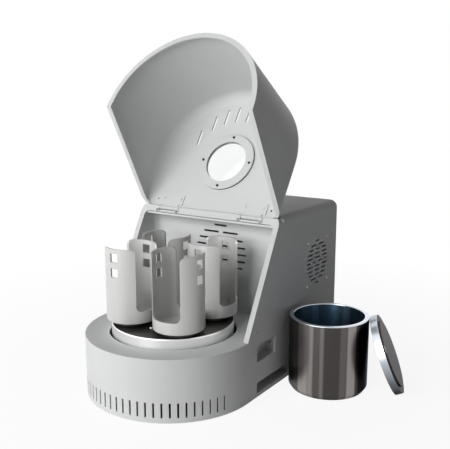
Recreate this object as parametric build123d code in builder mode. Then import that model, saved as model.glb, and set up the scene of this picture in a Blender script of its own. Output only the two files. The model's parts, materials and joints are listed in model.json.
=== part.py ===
"""Planetary ball mill for the bench.

A drum base carries a turning disc with four slotted jar holders. A rear casing holds the motor,
and a clear-windowed hood, hinged on the casing, closes over the chamber. A grinding jar and its
lid stand beside the mill.

Origin: the disc's axis at bench level. +X right, +Y rear, +Z up. Millimetres and degrees.
The hood is drawn closed, in a frame of its own that is swung open about the hinge axis.
"""
from build123d import *
import os
from math import acos, atan2, cos, degrees, pi, radians, sin, sqrt, tan

# ---------------------------------------------------------------- casing
CASING_WIDTH = 300.0
CASING_REAR = 344.5          # rear face, from the disc's axis
CASING_BOTTOM = 2.0          # skirt above the bench
CASING_WALL = 4.0            # lower casing
SHEET = 3.0                  # upper casing, liner and hood
REAR_CORNER_R = 15.0
BODY_TOP = 299.0
DECK_Z = 106.6
DECK_THICKNESS = 6.0
DECK_OPENING_R = 110.0
DECK_LAP = 12.0              # deck behind the chamber's rear wall
LEDGE = 14.0                 # shelf under the upper casing, behind the deck
FLANGE_WIDTH = 9.5           # light edge round the slanted front
SLANT_FOOT_Y = 3.7           # slanted front edge, at deck height
SLANT_HEAD_Y = 105.8         # slanted front edge, at the header's top
HEADER_TOP = 296.0
HEADER_DEPTH = 3.6           # header lip, front to back, at its top
GUTTER_REAR = 120.5          # gutter that the open hood's rear edge dips into
GUTTER_FLOOR = 288.8
SEAT_GAP = 0.2               # between fixed pieces that lie side by side

# drum air slots
SLOT_PITCH_DEG = 5.0
SLOT_FIRST_DEG = -160.0
SLOT_LAST_DEG = -20.0
SLOT_WIDTH = 3.2
SLOT_BOTTOM = 10.3
SLOT_HEIGHT = 24.7
SLOT_CUT = 12.0              # through the wall and clear of it on both sides

# side recesses: a grip low down, a pocket above it
RECESS_FRONT = 33.0
GRIP_LENGTH = 120.0
GRIP_BOTTOM = 8.5
GRIP_HEIGHT = 19.0
GRIP_DEPTH = 25.0
POCKET_LENGTH = 60.0
POCKET_BOTTOM = 64.0
POCKET_HEIGHT = 29.5
POCKET_DEPTH = 20.0
RECESS_WALL = 2.5
POCKET_HOLE_R = 2.6
POCKET_HOLE_Z = 81.0

# vents: circles filled with rows of slots, counted row by row
CHAMBER_VENT_COUNTS = (1, 2, 3, 3, 4, 3, 3, 2, 1)
CHAMBER_VENT_R = 54.6
CHAMBER_VENT_PITCH = 12.8
CHAMBER_VENT_SLOT = 3.5
CHAMBER_VENT_GAP = 9.0
CHAMBER_VENT_X = 10.0
CHAMBER_VENT_Z = 214.9
SIDE_VENT_COUNTS = (1, 2, 3, 3, 3, 4, 3, 3, 3, 2, 1)
SIDE_VENT_R = 42.8
SIDE_VENT_PITCH = 8.1
SIDE_VENT_SLOT = 3.2
SIDE_VENT_GAP = 6.4
FAN_Y = 252.0
FAN_Z = 193.0

# grinding chamber
LINER_REAR = 133.0           # front face of the chamber's rear wall
LINER_CORNER_R = 12.0
LINER_CEILING = 283.5

# ---------------------------------------------------------------- hood
HINGE_Y = 106.7
HINGE_Z = 292.5
HOOD_OPEN_DEG = 124.0
HOOD_RIM_Z = 108.0           # rim height with the hood closed
HOOD_TOP = 299.0
HOOD_CENTRE_Y = 2.5
HOOD_EDGE_R = 24.5
HOOD_RIM_WIDTH = 9.0
HOOD_SLANT_GAP = 1.2         # to the casing's slanted flange
HOOD_REAR_Y = 101.4
HOOD_SLOT_COUNT = 8
HOOD_SLOT_PITCH = 23.0
HOOD_SLOT_LENGTH = 32.0
HOOD_SLOT_WIDTH = 5.0
HOOD_SLOT_ARC_R = 87.0       # slots' rear ends, from the window's centre
WINDOW_Y = 1.0                # window's centre, hood closed
WINDOW_HOLE_R = 41.0
WINDOW_RING_R = 57.0
WINDOW_PANE_R = 45.5
WINDOW_PANE_T = 2.5
WINDOW_RING_T = 2.2
WINDOW_RING_CHAMFER = 1.1
WINDOW_SCREW_R = 50.5        # pitch circle radius
HINGE_X = 90.0
HINGE_WIDTH = 51.0
HINGE_PIN_R = 1.75
HINGE_BARREL_R = 3.7
HINGE_EAR = 7.0              # screwed ear at each end of the base leaf
LEAF_T = 1.6
HOOD_LEAF_REACH = 24.0
HINGE_SIDE_GAP = 0.5         # between the ears and the knuckle
KNUCKLE_R = 3.4
LEAF_SCREW_PITCH = 38.0
LEAF_SCREW_INSET = 8.1       # from the leaf's front edge
HOOD_BLIND = 2.2             # screw holes in the hood's sheet, blind
HOOD_HOLE_INSET = 26.0       # from the hood's side
HOOD_HOLE_Y = 88.0
HOOD_HOLE_R = 2.0
RING_SCREW_COUNT = 4

# ---------------------------------------------------------------- planetary stage
GEAR_MODULE = 1.5
SUN_TEETH = 62
PLANET_TEETH = 31
PRESSURE_DEG = 20.0
BACKLASH = 0.30
ADDENDUM = 0.95              # times the module
DEDENDUM = 1.25
GEAR_T = 14.0
GEAR_GAP = 2.0               # gear face to carrier hub
ORBIT_R = GEAR_MODULE * (SUN_TEETH + PLANET_TEETH) / 2
STATIONS = 4
FIRST_STATION_DEG = -44.5    # front holder, from +X
DISC_R = 105.0
DISC_TOP = 122.9
DISC_T = 22.0
HUB_R = 66.0
HUB_T = 7.0
HUB_NOTCH_R = 15.0
DISC_SCREW_R = 59.5
DISC_SCREW_DEG = 0.5          # between two holders
DISC_SCREW_HEAD_T = 2.5
DISC_CHAMFER = 1.2
CAP_R = 15.0
CAP_T = 3.0
CAP_CHAMFER = 1.0
SHAFT_R = 10.0
RUNNING_GAP = 0.05           # radial, for everything that turns in a bore
MAIN_BEARING_R = 21.0
MAIN_BEARING_T = 12.0
SPINDLE_R = 7.5
SPINDLE_BEARING_R = 16.0
SPINDLE_BEARING_T = 9.0
SPINDLE_LIP_R = 12.0
SPINDLE_LIP_T = 1.5
SPINDLE_FLANGE_R = 33.0
SPINDLE_LIFT = 1.5           # flange above the disc
WASHER_T = 1.5

# ---------------------------------------------------------------- jar holders
HOLDER_R = 43.1
HOLDER_WALL = 3.0
HOLDER_FLOOR = 7.0
HOLDER_SEAT_R = 39.6         # bore that centres the jar, under the slots
HOLDER_SEAT_DEPTH = 12.0
HOLDER_BASE = 130.8
HOLDER_TOP = 257.1
HOLDER_SLOT_WIDTH = 55.4
HOLDER_SLOT_BOTTOM = 151.0
HOLDER_SLOT_R = 9.0
HOLDER_EAR_R = 8.0
HOLDER_FOOT_R = 1.5
WINDOW_SIZE = 15.0           # square windows in the ears
WINDOW_FIRST_DROP = 15.0     # upper window's centre, below the ear's top
WINDOW_PITCH = 25.5
WINDOW_COUNT = 2
HOLDER_SCREW_R = 4.0
HOLDER_SCREW_HEAD_R = 6.5
HOLDER_SCREW_HEAD_T = 4.5
HOLDER_SCREW_DEPTH = 18.0

# ---------------------------------------------------------------- drive
PLATE_BOTTOM = 44.0
PLATE_T = 8.0
PLATE_EDGE_GAP = 3.0         # mounting plate to the casing's wall
BASE_BOTTOM = 4.0            # base plate, let up into the skirt
BASE_PLATE_T = 2.0
POST_R = 8.0
POST_EDGE = 23.0             # posts, in from the mounting plate's edge
POST_ROWS = (-55.0, 172.0, 312.0)
FOOT_R = 15.0
FOOT_EDGE = 10.0             # feet, in from the casing's wall
FRONT_FOOT_DEG = -42.0       # front feet, about the disc's axis
HOUSING_R = 36.0
HOUSING_FLANGE_R = 55.0
HOUSING_FLANGE_T = 8.0
HOUSING_SPIGOT_R = 30.0
HOUSING_SHOULDER_R = 17.0
SUN_BORE_R = 12.0
SUN_SCREW_CIRCLE_R = 29.0
SHAFT_BOTTOM = 12.0
PULLEY_BOTTOM = 17.0
PULLEY_T = 18.0
DRIVEN_PITCH_R = 58.0
MOTOR_PITCH_R = 29.0
BELT_WIDTH = 7.0
BELT_THICKNESS = 6.0
BELT_GAP = 0.4
GROOVE_FLARE = 1.5           # groove wall's lean, each side
PULLEY_LAND = 4.0            # pulley's rim above the pitch line
MOTOR_Y = 222.0
MOTOR_R = 58.0
MOTOR_HEIGHT = 150.0
MOTOR_FLANGE_R = 67.0
MOTOR_FLANGE_T = 9.0
MOTOR_PILOT_R = 25.0
MOTOR_SHAFT_R = 9.5
MOTOR_BORE_DEPTH = 22.0
MOTOR_CAP_R = 50.0
MOTOR_CAP_T = 12.0
MOTOR_RIB_COUNT = 24
MOTOR_BOLT_DEG = 45.0
MOTOR_RIB = 3.0

# ---------------------------------------------------------------- fan, fasteners, electrics
FAN_SIZE = 92.0
FAN_SCREW_PITCH = 82.5
FAN_DEPTH = 25.0
FAN_DUCT_R = 43.5
FAN_HUB_R = 18.0
FAN_HUB_T = 4.0
FAN_BLADE_COUNT = 7
FAN_ROOT = 1.0               # blade's root inside the hub
FAN_BLADE_R = 42.3
FAN_BLADE_T = 1.6
FAN_BLADE_CHORD = 16.0
FAN_GAP = 1.0                # rotor to the frame's hub, and to the vent
FAN_BLADE_TILT = 38.0
FAN_SHAFT_R = 2.5
SCREW_R = 1.5                # small machine screws
SCREW_HEAD_R = 2.7
SCREW_HEAD_T = 1.3
SCREW_LENGTH = 8.0           # past the sheet it holds
BLIND_DEPTH = 6.0            # screw holes that end inside a sheet's corner
BOLT_R = 2.5                 # bolts of the drive
BOLT_HEAD_R = 4.2
BOLT_HEAD_T = 4.0
FIT_GAP = 0.1                # radial, screw in its hole
HEAD_TAPER = 20.0
TAB_SCREW_Y = 30.0           # screw that holds the upper casing, each side
TAB_SCREW_Z = 118.7
TAB_T = 2.6
TAB_SIZE = 22.0
REAR_PANEL_WIDTH = 210.0
REAR_PANEL_HEIGHT = 120.0
REAR_PANEL_Z = 205.0
REAR_PANEL_T = 1.6
REAR_PANEL_LAP = 12.0
LOUVRE_COUNT = 6
LOUVRE_LENGTH = 120.0
LOUVRE_HEIGHT = 4.5
LOUVRE_PITCH = 13.0
INLET_X = -60.0
INLET_Z = 68.0
INLET_FLANGE = (50.0, 24.0)
INLET_BODY = (28.0, 20.0)
INLET_CAVITY = (24.4, 16.4)
INLET_DEPTH = 16.0
INLET_FLANGE_T = 2.0
INLET_PIN = (4.0, 2.0)
INLET_PIN_LENGTH = 9.0
INLET_PIN_PITCH = 7.0
INLET_PIN_RISE = 4.0
SWITCH_X = 60.0
SWITCH_FRAME = (23.0, 34.0)
SWITCH_OPENING = (13.4, 25.0)
SWITCH_BEZEL_T = 2.0
SWITCH_DEPTH = 14.0
ROCKER_GAP = 0.4
ROCKER_TILT = 8.0            # each way from the middle
ROCKER_PIVOT_DEPTH = 5.0     # pivot behind the bezel's face
ROCKER_CROWN = 3.0
ROCKER_PIN_R = 1.5
ROCKER_PIN_LENGTH = 1.5      # past the opening, into the frame
PANEL_SIZE = (104.0, 72.0)
PANEL_SPOT = (-72.0, 225.0)
PANEL_T = 1.6
PANEL_CORNER_R = 6.0
DISPLAY_SIZE = (54.0, 24.0)
DISPLAY_Y = 16.0             # display's centre, behind the panel's
DISPLAY_T = 1.0

# ---------------------------------------------------------------- jar and its lid
JAR_CLEARANCE = 6.5          # from the casing's side
JAR_Y = 149.0
JAR_R = 68.5
JAR_HEIGHT = 130.0
JAR_WALL = 8.0
JAR_FLOOR = 9.0
JAR_EDGE_R = 3.0
LID_R = 69.0
LID_T = 12.0
LID_SPIGOT_R = 58.0
LID_SPIGOT_T = 2.5
LID_TILT = 22.0              # from upright
LID_DIRECTION = 20.0         # where it leans from, about the jar
LEAN_GAP = 0.3

# ---------------------------------------------------------------- derived places
HALF = CASING_WIDTH / 2
SLANT_DEG = degrees(atan2(HEADER_TOP - DECK_Z, SLANT_HEAD_Y - SLANT_FOOT_Y))
DISC_BOTTOM = DISC_TOP - DISC_T
HUB_BOTTOM = DISC_BOTTOM - HUB_T
GEAR_TOP = HUB_BOTTOM - GEAR_GAP
GEAR_BOTTOM = GEAR_TOP - GEAR_T
PLATE_TOP = PLATE_BOTTOM + PLATE_T
BASE_TOP = BASE_BOTTOM + BASE_PLATE_T
STATION_DEGS = [FIRST_STATION_DEG + 360.0 * k / STATIONS for k in range(STATIONS)]
HINGE_AXIS = Axis((0, HINGE_Y, HINGE_Z), (1, 0, 0))
UP = Plane.XY
SLANT = Plane(
    origin=(0, SLANT_FOOT_Y, DECK_Z),
    x_dir=(1, 0, 0),
    z_dir=(0, -sin(radians(SLANT_DEG)), cos(radians(SLANT_DEG))),
)
REAR = Plane(origin=(0, CASING_REAR, 0), x_dir=(-1, 0, 0), z_dir=(0, 1, 0))

os.makedirs("parts", exist_ok=True)


def save(piece, name):
    """Label a finished piece and write it."""
    piece.part.label = name
    export_step(piece.part, f"parts/{name}.step")


def save_open(piece, name):
    """Swing a hood piece from closed to open about the hinge, then write it."""
    piece.part = piece.part.rotate(HINGE_AXIS, -HOOD_OPEN_DEG)
    save(piece, name)


def slant_y(height):
    """Y of the slanted front at a height."""
    return SLANT_FOOT_Y + (height - DECK_Z) / tan(radians(SLANT_DEG))


def slant_up(height):
    """Distance up the slanted front at a height."""
    return (height - DECK_Z) / sin(radians(SLANT_DEG))


def station(degs):
    """Centre of a planet station."""
    return ORBIT_R * cos(radians(degs)), ORBIT_R * sin(radians(degs))


def casing_plan(inset):
    """Casing outline in plan, drawn inset: half round in front, straight sides, round rear corners."""
    with BuildSketch() as plan:
        Circle(HALF - inset)
        Rectangle(2 * (HALF - inset), CASING_REAR - inset, align=(Align.CENTER, Align.MIN))
        fillet(plan.vertices().group_by(Axis.Y)[-1], REAR_CORNER_R - inset)
    return plan.sketch


def hood_plan(inset, rear_y):
    """Hood outline in plan, drawn inset at the sides and front and ending at rear_y."""
    width = 2 * (HALF - inset)
    with BuildSketch() as plan:
        with Locations((0, HOOD_CENTRE_Y)):
            Circle(width / 2)
            Rectangle(width, width, align=(Align.CENTER, Align.MIN))
        with Locations((0, rear_y)):
            Rectangle(width, width, align=(Align.CENTER, Align.MAX), mode=Mode.INTERSECT)
    return plan.sketch


def vent(counts, radius, pitch, slot, gap):
    """Rows of slots that fill a circle."""
    with BuildSketch() as pattern:
        for row, count in enumerate(counts):
            rise = ((len(counts) - 1) / 2 - row) * pitch
            chord = 2 * sqrt(radius**2 - (abs(rise) + slot / 2) ** 2)
            length = (chord - (count - 1) * gap) / count
            with Locations((0, rise)):
                with GridLocations(length + gap, pitch, count, 1):
                    Rectangle(length, slot)
    return pattern.sketch


def screw(shank, shank_r=SCREW_R, head_r=SCREW_HEAD_R, head_t=SCREW_HEAD_T):
    """One button screw: head above the XY plane, shank below it."""
    with BuildPart() as piece:
        with BuildSketch():
            Circle(head_r)
        extrude(amount=head_t, taper=HEAD_TAPER)
        with BuildSketch():
            Circle(shank_r)
        extrude(amount=-shank)
    return piece.part


# ================================================================ lower casing
CASING_OUTLINE = casing_plan(0)
CASING_INSIDE = casing_plan(CASING_WALL)
PLATE_OUTLINE = casing_plan(CASING_WALL + PLATE_EDGE_GAP)
CHAMBER_VENT = vent(
    CHAMBER_VENT_COUNTS, CHAMBER_VENT_R, CHAMBER_VENT_PITCH, CHAMBER_VENT_SLOT, CHAMBER_VENT_GAP
)
SIDE_VENT = vent(SIDE_VENT_COUNTS, SIDE_VENT_R, SIDE_VENT_PITCH, SIDE_VENT_SLOT, SIDE_VENT_GAP)
SLOT_COUNT = round((SLOT_LAST_DEG - SLOT_FIRST_DEG) / SLOT_PITCH_DEG) + 1
DECK_REAR = LINER_REAR + DECK_LAP


def recess(side, length, bottom, height, depth):
    """A tub let into one side wall of the lower casing: walls first, then the hollow."""
    middle_y = RECESS_FRONT + length / 2
    middle_z = bottom + height / 2
    tub = depth + RECESS_WALL
    with Locations((side * (HALF - tub / 2), middle_y, middle_z)):
        Box(tub, length + 2 * RECESS_WALL, height + 2 * RECESS_WALL)
    with Locations((side * (HALF - depth / 2), middle_y, middle_z)):
        Box(depth, length, height, mode=Mode.SUBTRACT)


with BuildPart() as lower_casing:
    with BuildSketch(UP.offset(CASING_BOTTOM)):
        add(CASING_OUTLINE)
    extrude(amount=DECK_Z - CASING_BOTTOM)
    with BuildSketch(UP.offset(CASING_BOTTOM)):
        add(CASING_INSIDE)
    extrude(amount=DECK_Z - DECK_THICKNESS - CASING_BOTTOM, mode=Mode.SUBTRACT)
    with BuildSketch(UP.offset(DECK_Z)):
        with Locations((0, DECK_REAR)):
            Rectangle(
                CASING_WIDTH - 2 * LEDGE,
                CASING_REAR - LEDGE - DECK_REAR,
                align=(Align.CENTER, Align.MIN),
            )
        Circle(DECK_OPENING_R)
    extrude(amount=-DECK_THICKNESS, mode=Mode.SUBTRACT)
    for side in (-1, 1):
        recess(side, GRIP_LENGTH, GRIP_BOTTOM, GRIP_HEIGHT, GRIP_DEPTH)
        recess(side, POCKET_LENGTH, POCKET_BOTTOM, POCKET_HEIGHT, POCKET_DEPTH)
        with Locations((side * (HALF - SHEET - SEAT_GAP - TAB_T / 2), TAB_SCREW_Y, DECK_Z)):
            Box(TAB_T, TAB_SIZE, TAB_SIZE, align=(Align.CENTER, Align.CENTER, Align.MIN))
        with BuildSketch(Plane.YZ.offset(side * (HALF - SHEET))):
            with Locations((TAB_SCREW_Y, TAB_SCREW_Z)):
                Circle(SCREW_R + FIT_GAP)
        extrude(amount=-side * (SEAT_GAP + TAB_T), mode=Mode.SUBTRACT)
        with BuildSketch(Plane.XZ.offset(-RECESS_FRONT - POCKET_LENGTH)):
            with Locations((side * (HALF - POCKET_DEPTH / 2), POCKET_HOLE_Z)):
                Circle(POCKET_HOLE_R)
        extrude(amount=-RECESS_WALL, mode=Mode.SUBTRACT)
    with BuildSketch(UP.offset(SLOT_BOTTOM)):
        with PolarLocations(
            HALF, SLOT_COUNT, SLOT_FIRST_DEG, SLOT_LAST_DEG - SLOT_FIRST_DEG, endpoint=True
        ):
            Rectangle(SLOT_CUT, SLOT_WIDTH)
    extrude(amount=SLOT_HEIGHT, mode=Mode.SUBTRACT)
    with BuildSketch(REAR):
        with Locations((-INLET_X, INLET_Z)):
            Rectangle(*[size + 2 * SEAT_GAP for size in INLET_BODY])
        with Locations((-SWITCH_X, INLET_Z)):
            Rectangle(*[size + 2 * RECESS_WALL + 2 * SEAT_GAP for size in SWITCH_OPENING])
    extrude(amount=-CASING_WALL, mode=Mode.SUBTRACT)
save(lower_casing, "lower_casing")

with BuildPart() as base_plate:
    with BuildSketch(UP.offset(BASE_BOTTOM)):
        add(CASING_INSIDE)
    extrude(amount=BASE_PLATE_T)
save(base_plate, "base_plate")

FOOT_INSET = CASING_WALL + FOOT_EDGE + FOOT_R
FRONT_FOOT = (
    (HALF - FOOT_INSET) * cos(radians(FRONT_FOOT_DEG)),
    (HALF - FOOT_INSET) * sin(radians(FRONT_FOOT_DEG)),
)
REAR_FOOT = (HALF - FOOT_INSET, CASING_REAR - FOOT_INSET)
CORNER_FEET = [(side * x, y) for side in (-1, 1) for x, y in (FRONT_FOOT, REAR_FOOT)]

with BuildPart() as feet:
    with BuildSketch(UP):
        Circle(FOOT_R)
        with Locations(CORNER_FEET):
            Circle(FOOT_R)
    extrude(amount=BASE_BOTTOM)
save(feet, "feet")

# ================================================================ upper casing


def body_block(profile, half, radius):
    """Casing body: a side profile given its width, with round top and rear edges."""
    with BuildPart() as block:
        with BuildSketch(Plane.YZ):
            with BuildLine():
                Polyline(*profile, close=True)
            make_face()
        extrude(amount=half, both=True)
        round_edges = block.edges().filter_by(Axis.Z).group_by(Axis.Y)[-1]
        round_edges += block.edges().group_by(Axis.Z)[-1].sort_by(Axis.Y)[1:]
        fillet(round_edges, radius)
    return block.part


SLANT_BACK = SHEET / sin(radians(SLANT_DEG))
CAVITY_TOP = GUTTER_FLOOR - SHEET
BODY_OUTSIDE = body_block(
    [
        (SLANT_FOOT_Y, DECK_Z),
        (SLANT_HEAD_Y, HEADER_TOP),
        (SLANT_HEAD_Y + HEADER_DEPTH, HEADER_TOP),
        (SLANT_HEAD_Y + HEADER_DEPTH, GUTTER_FLOOR),
        (GUTTER_REAR, GUTTER_FLOOR),
        (GUTTER_REAR, BODY_TOP),
        (CASING_REAR, BODY_TOP),
        (CASING_REAR, DECK_Z),
    ],
    HALF,
    REAR_CORNER_R,
)
BODY_CAVITY = body_block(
    [
        (slant_y(DECK_Z - SHEET) + SLANT_BACK, DECK_Z - SHEET),
        (slant_y(CAVITY_TOP) + SLANT_BACK, CAVITY_TOP),
        (GUTTER_REAR + SHEET, CAVITY_TOP),
        (GUTTER_REAR + SHEET, BODY_TOP - SHEET),
        (CASING_REAR - SHEET, BODY_TOP - SHEET),
        (CASING_REAR - SHEET, DECK_Z - SHEET),
    ],
    HALF - SHEET,
    REAR_CORNER_R - SHEET,
)
FRONT_TOP = slant_up(CAVITY_TOP - SEAT_GAP)
NOTCH_FLOOR = HINGE_Z - HINGE_BARREL_R - SEAT_GAP
HINGE_SCREW_UP = FRONT_TOP + SCREW_HEAD_R + SEAT_GAP
HINGE_XS = (-HINGE_X, HINGE_X)
EAR_SHIFT = (HINGE_WIDTH - HINGE_EAR) / 2
EAR_XS = [side * HINGE_X + end * EAR_SHIFT for side in (-1, 1) for end in (-1, 1)]
FAN_SCREWS = GridLocations(FAN_SCREW_PITCH, FAN_SCREW_PITCH, 2, 2).local_locations
REAR_SCREWS = GridLocations(
    REAR_PANEL_WIDTH - REAR_PANEL_LAP, REAR_PANEL_HEIGHT - REAR_PANEL_LAP, 2, 2
).local_locations
FAN_PLACE = Plane(origin=(HALF, FAN_Y, FAN_Z), x_dir=(0, 1, 0), z_dir=(1, 0, 0))
REAR_PLACE = Plane(origin=(0, CASING_REAR, REAR_PANEL_Z), x_dir=(-1, 0, 0), z_dir=(0, 1, 0))

with BuildPart() as upper_casing:
    add(BODY_OUTSIDE)
    add(BODY_CAVITY, mode=Mode.SUBTRACT)
    with BuildSketch(SLANT) as front_window:
        with Locations((0, -LINER_CORNER_R)):
            Rectangle(
                CASING_WIDTH - 2 * FLANGE_WIDTH,
                FRONT_TOP + LINER_CORNER_R,
                align=(Align.CENTER, Align.MIN),
            )
        fillet(front_window.vertices().group_by(Axis.Y)[-1], FLANGE_WIDTH)
    extrude(amount=-SHEET - SEAT_GAP, mode=Mode.SUBTRACT)
    with Locations([(hinge_x, GUTTER_REAR, NOTCH_FLOOR) for hinge_x in HINGE_XS]):
        Box(
            HINGE_WIDTH + 2 * SEAT_GAP,
            GUTTER_REAR - HOOD_REAR_Y,
            HEADER_TOP - NOTCH_FLOOR,
            align=(Align.CENTER, Align.MAX, Align.MIN),
            mode=Mode.SUBTRACT,
        )
    with BuildSketch(SLANT):
        with Locations([(ear_x, HINGE_SCREW_UP) for ear_x in EAR_XS]):
            Circle(SCREW_R + FIT_GAP)
    extrude(amount=-BLIND_DEPTH, mode=Mode.SUBTRACT)
    for side in (-1, 1):
        with BuildSketch(Plane.YZ.offset(side * HALF)):
            with Locations((TAB_SCREW_Y, TAB_SCREW_Z)):
                Circle(SCREW_R + FIT_GAP)
        extrude(amount=-side * SHEET, mode=Mode.SUBTRACT)
    with BuildSketch(FAN_PLACE):
        add(SIDE_VENT)
        with Locations(*FAN_SCREWS):
            Circle(SCREW_R + FIT_GAP)
    extrude(amount=-SHEET, mode=Mode.SUBTRACT)
    with BuildSketch(REAR_PLACE):
        Rectangle(REAR_PANEL_WIDTH - 2 * REAR_PANEL_LAP, REAR_PANEL_HEIGHT - 2 * REAR_PANEL_LAP)
        with Locations(*REAR_SCREWS):
            Circle(SCREW_R + FIT_GAP)
    extrude(amount=-SHEET, mode=Mode.SUBTRACT)
save(upper_casing, "upper_casing")

# ================================================================ chamber liner
CHAMBER_VENT_PLACE = Plane(
    origin=(CHAMBER_VENT_X, LINER_REAR, CHAMBER_VENT_Z), x_dir=(1, 0, 0), z_dir=(0, -1, 0)
)
LINER_HALF = HALF - FLANGE_WIDTH + SHEET
LINER_FRONT = SLANT_BACK + SEAT_GAP / sin(radians(SLANT_DEG))


def liner_block(half, ceiling, rear, radius):
    """Chamber-shaped solid behind the slanted front, with round rear corners."""
    with BuildPart() as block:
        with BuildSketch(Plane.YZ):
            with BuildLine():
                Polyline(
                    (slant_y(DECK_Z) + LINER_FRONT, DECK_Z),
                    (slant_y(ceiling) + LINER_FRONT, ceiling),
                    (rear, ceiling),
                    (rear, DECK_Z),
                    close=True,
                )
            make_face()
        extrude(amount=half, both=True)
        fillet(block.edges().filter_by(Axis.Z).group_by(Axis.Y)[-1], radius)
    return block.part


LINER_OUTSIDE = liner_block(LINER_HALF, LINER_CEILING, LINER_REAR + SHEET, LINER_CORNER_R + SHEET)
LINER_INSIDE = liner_block(LINER_HALF - SHEET, LINER_CEILING - SHEET, LINER_REAR, LINER_CORNER_R)

with BuildPart() as chamber_liner:
    add(LINER_OUTSIDE)
    add(LINER_INSIDE, mode=Mode.SUBTRACT)
    with BuildSketch(CHAMBER_VENT_PLACE):
        add(CHAMBER_VENT)
    extrude(amount=-SHEET, mode=Mode.SUBTRACT)
save(chamber_liner, "chamber_liner")

# ================================================================ rear panel, small screws
with BuildPart() as rear_panel:
    with BuildSketch(REAR_PLACE):
        RectangleRounded(REAR_PANEL_WIDTH, REAR_PANEL_HEIGHT, PANEL_CORNER_R)
        with Locations(*REAR_SCREWS):
            Circle(SCREW_R + FIT_GAP, mode=Mode.SUBTRACT)
        with GridLocations(LOUVRE_LENGTH, LOUVRE_PITCH, 1, LOUVRE_COUNT):
            Rectangle(LOUVRE_LENGTH, LOUVRE_HEIGHT, mode=Mode.SUBTRACT)
    extrude(amount=REAR_PANEL_T)
save(rear_panel, "rear_panel")


def plane_at(origin, normal, x_dir=(1, 0, 0)):
    """Plane by its origin and its normal."""
    return Plane(origin=origin, x_dir=x_dir, z_dir=normal)


with BuildPart() as casing_screws:
    for side in (-1, 1):
        tab_plane = plane_at((side * HALF, TAB_SCREW_Y, TAB_SCREW_Z), (side, 0, 0), (0, 1, 0))
        with Locations(tab_plane):
            add(screw(SHEET + TAB_T))
    with Locations([FAN_PLACE.location * spot for spot in FAN_SCREWS]):
        add(screw(SHEET + SCREW_LENGTH))
    with Locations([REAR_PLACE.offset(REAR_PANEL_T).location * spot for spot in REAR_SCREWS]):
        add(screw(REAR_PANEL_T + SHEET))
save(casing_screws, "casing_screws")

# ================================================================ hinges, fixed halves


def barrels(centres, length, radius):
    """Hinge barrels on the axis, each centred at one x."""
    with BuildPart() as pieces:
        for centre_x in centres:
            with BuildSketch(Plane.YZ.offset(centre_x - length / 2)):
                with Locations((HINGE_Y, HINGE_Z)):
                    Circle(radius)
            extrude(amount=length)
    return pieces.part


with BuildPart() as hinge_base_leaves:
    add(barrels(EAR_XS, HINGE_EAR, HINGE_BARREL_R))
    with BuildSketch(SLANT):
        with Locations([(ear_x, FRONT_TOP) for ear_x in EAR_XS]):
            Rectangle(
                HINGE_EAR,
                slant_up(HINGE_Z) - FRONT_TOP,
                align=(Align.CENTER, Align.MIN),
            )
        with Locations([(ear_x, HINGE_SCREW_UP) for ear_x in EAR_XS]):
            Circle(SCREW_R + FIT_GAP, mode=Mode.SUBTRACT)
    extrude(amount=LEAF_T)
    add(barrels(EAR_XS, HINGE_EAR, HINGE_PIN_R), mode=Mode.SUBTRACT)
save(hinge_base_leaves, "hinge_base_leaves")

with BuildPart() as hinge_base_screws:
    with Locations([SLANT.location * Location((x, HINGE_SCREW_UP, LEAF_T)) for x in EAR_XS]):
        add(screw(BLIND_DEPTH))
save(hinge_base_screws, "hinge_base_screws")

with BuildPart() as hinge_pins:
    add(barrels(HINGE_XS, HINGE_WIDTH, HINGE_PIN_R))
save(hinge_pins, "hinge_pins")

# ================================================================ hood, drawn closed
HOOD_INSIDE_TOP = HOOD_TOP - SHEET
INSIDE = plane_at((0, 0, HOOD_INSIDE_TOP), (0, 0, -1))
RING_FACE = plane_at((0, WINDOW_Y, HOOD_INSIDE_TOP - WINDOW_PANE_T - WINDOW_RING_T), (0, 0, -1))
WINDOW_FACE = plane_at((0, WINDOW_Y, HOOD_INSIDE_TOP), (0, 0, -1))
LEAF_FRONT = HOOD_REAR_Y - HOOD_LEAF_REACH
LEAF_SCREW_Y = LEAF_FRONT + LEAF_SCREW_INSET
LEAF_NECK = HINGE_WIDTH - 2 * HINGE_EAR - 2 * HINGE_SIDE_GAP
LEAF_SCREWS = [
    (side * HINGE_X + end * LEAF_SCREW_PITCH / 2, -LEAF_SCREW_Y, 0)
    for side in (-1, 1)
    for end in (-1, 1)
]
RING_SCREWS = PolarLocations(WINDOW_SCREW_R, RING_SCREW_COUNT).local_locations


def hood_block(inset, bottom, top, gap, rear_y):
    """Hood-shaped solid: round edge along the top, back cut to the casing's slant."""
    with BuildPart() as block:
        with BuildSketch(UP.offset(bottom)):
            add(hood_plan(inset, rear_y))
        extrude(amount=top - bottom)
        top_edges = block.edges().group_by(Axis.Z)[-1].sort_by(Axis.Y)[:-1]
        fillet(top_edges, HOOD_EDGE_R - inset)
        split(bisect_by=SLANT.offset(gap), keep=Keep.TOP)
    return block.part


HOOD_OUTSIDE = hood_block(0, HOOD_RIM_Z, HOOD_TOP, HOOD_SLANT_GAP, HOOD_REAR_Y)
HOOD_CAVITY = hood_block(
    SHEET, HOOD_RIM_Z + SHEET, HOOD_INSIDE_TOP, HOOD_SLANT_GAP + SHEET, HOOD_REAR_Y + SHEET
)
HOOD_MOUTH = hood_block(
    HOOD_RIM_WIDTH, HOOD_RIM_Z - SHEET, HOOD_INSIDE_TOP, 0, HOOD_REAR_Y + SHEET
)
HOOD_SLOT_XS = [HOOD_SLOT_PITCH * (k - (HOOD_SLOT_COUNT - 1) / 2) for k in range(HOOD_SLOT_COUNT)]

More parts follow.
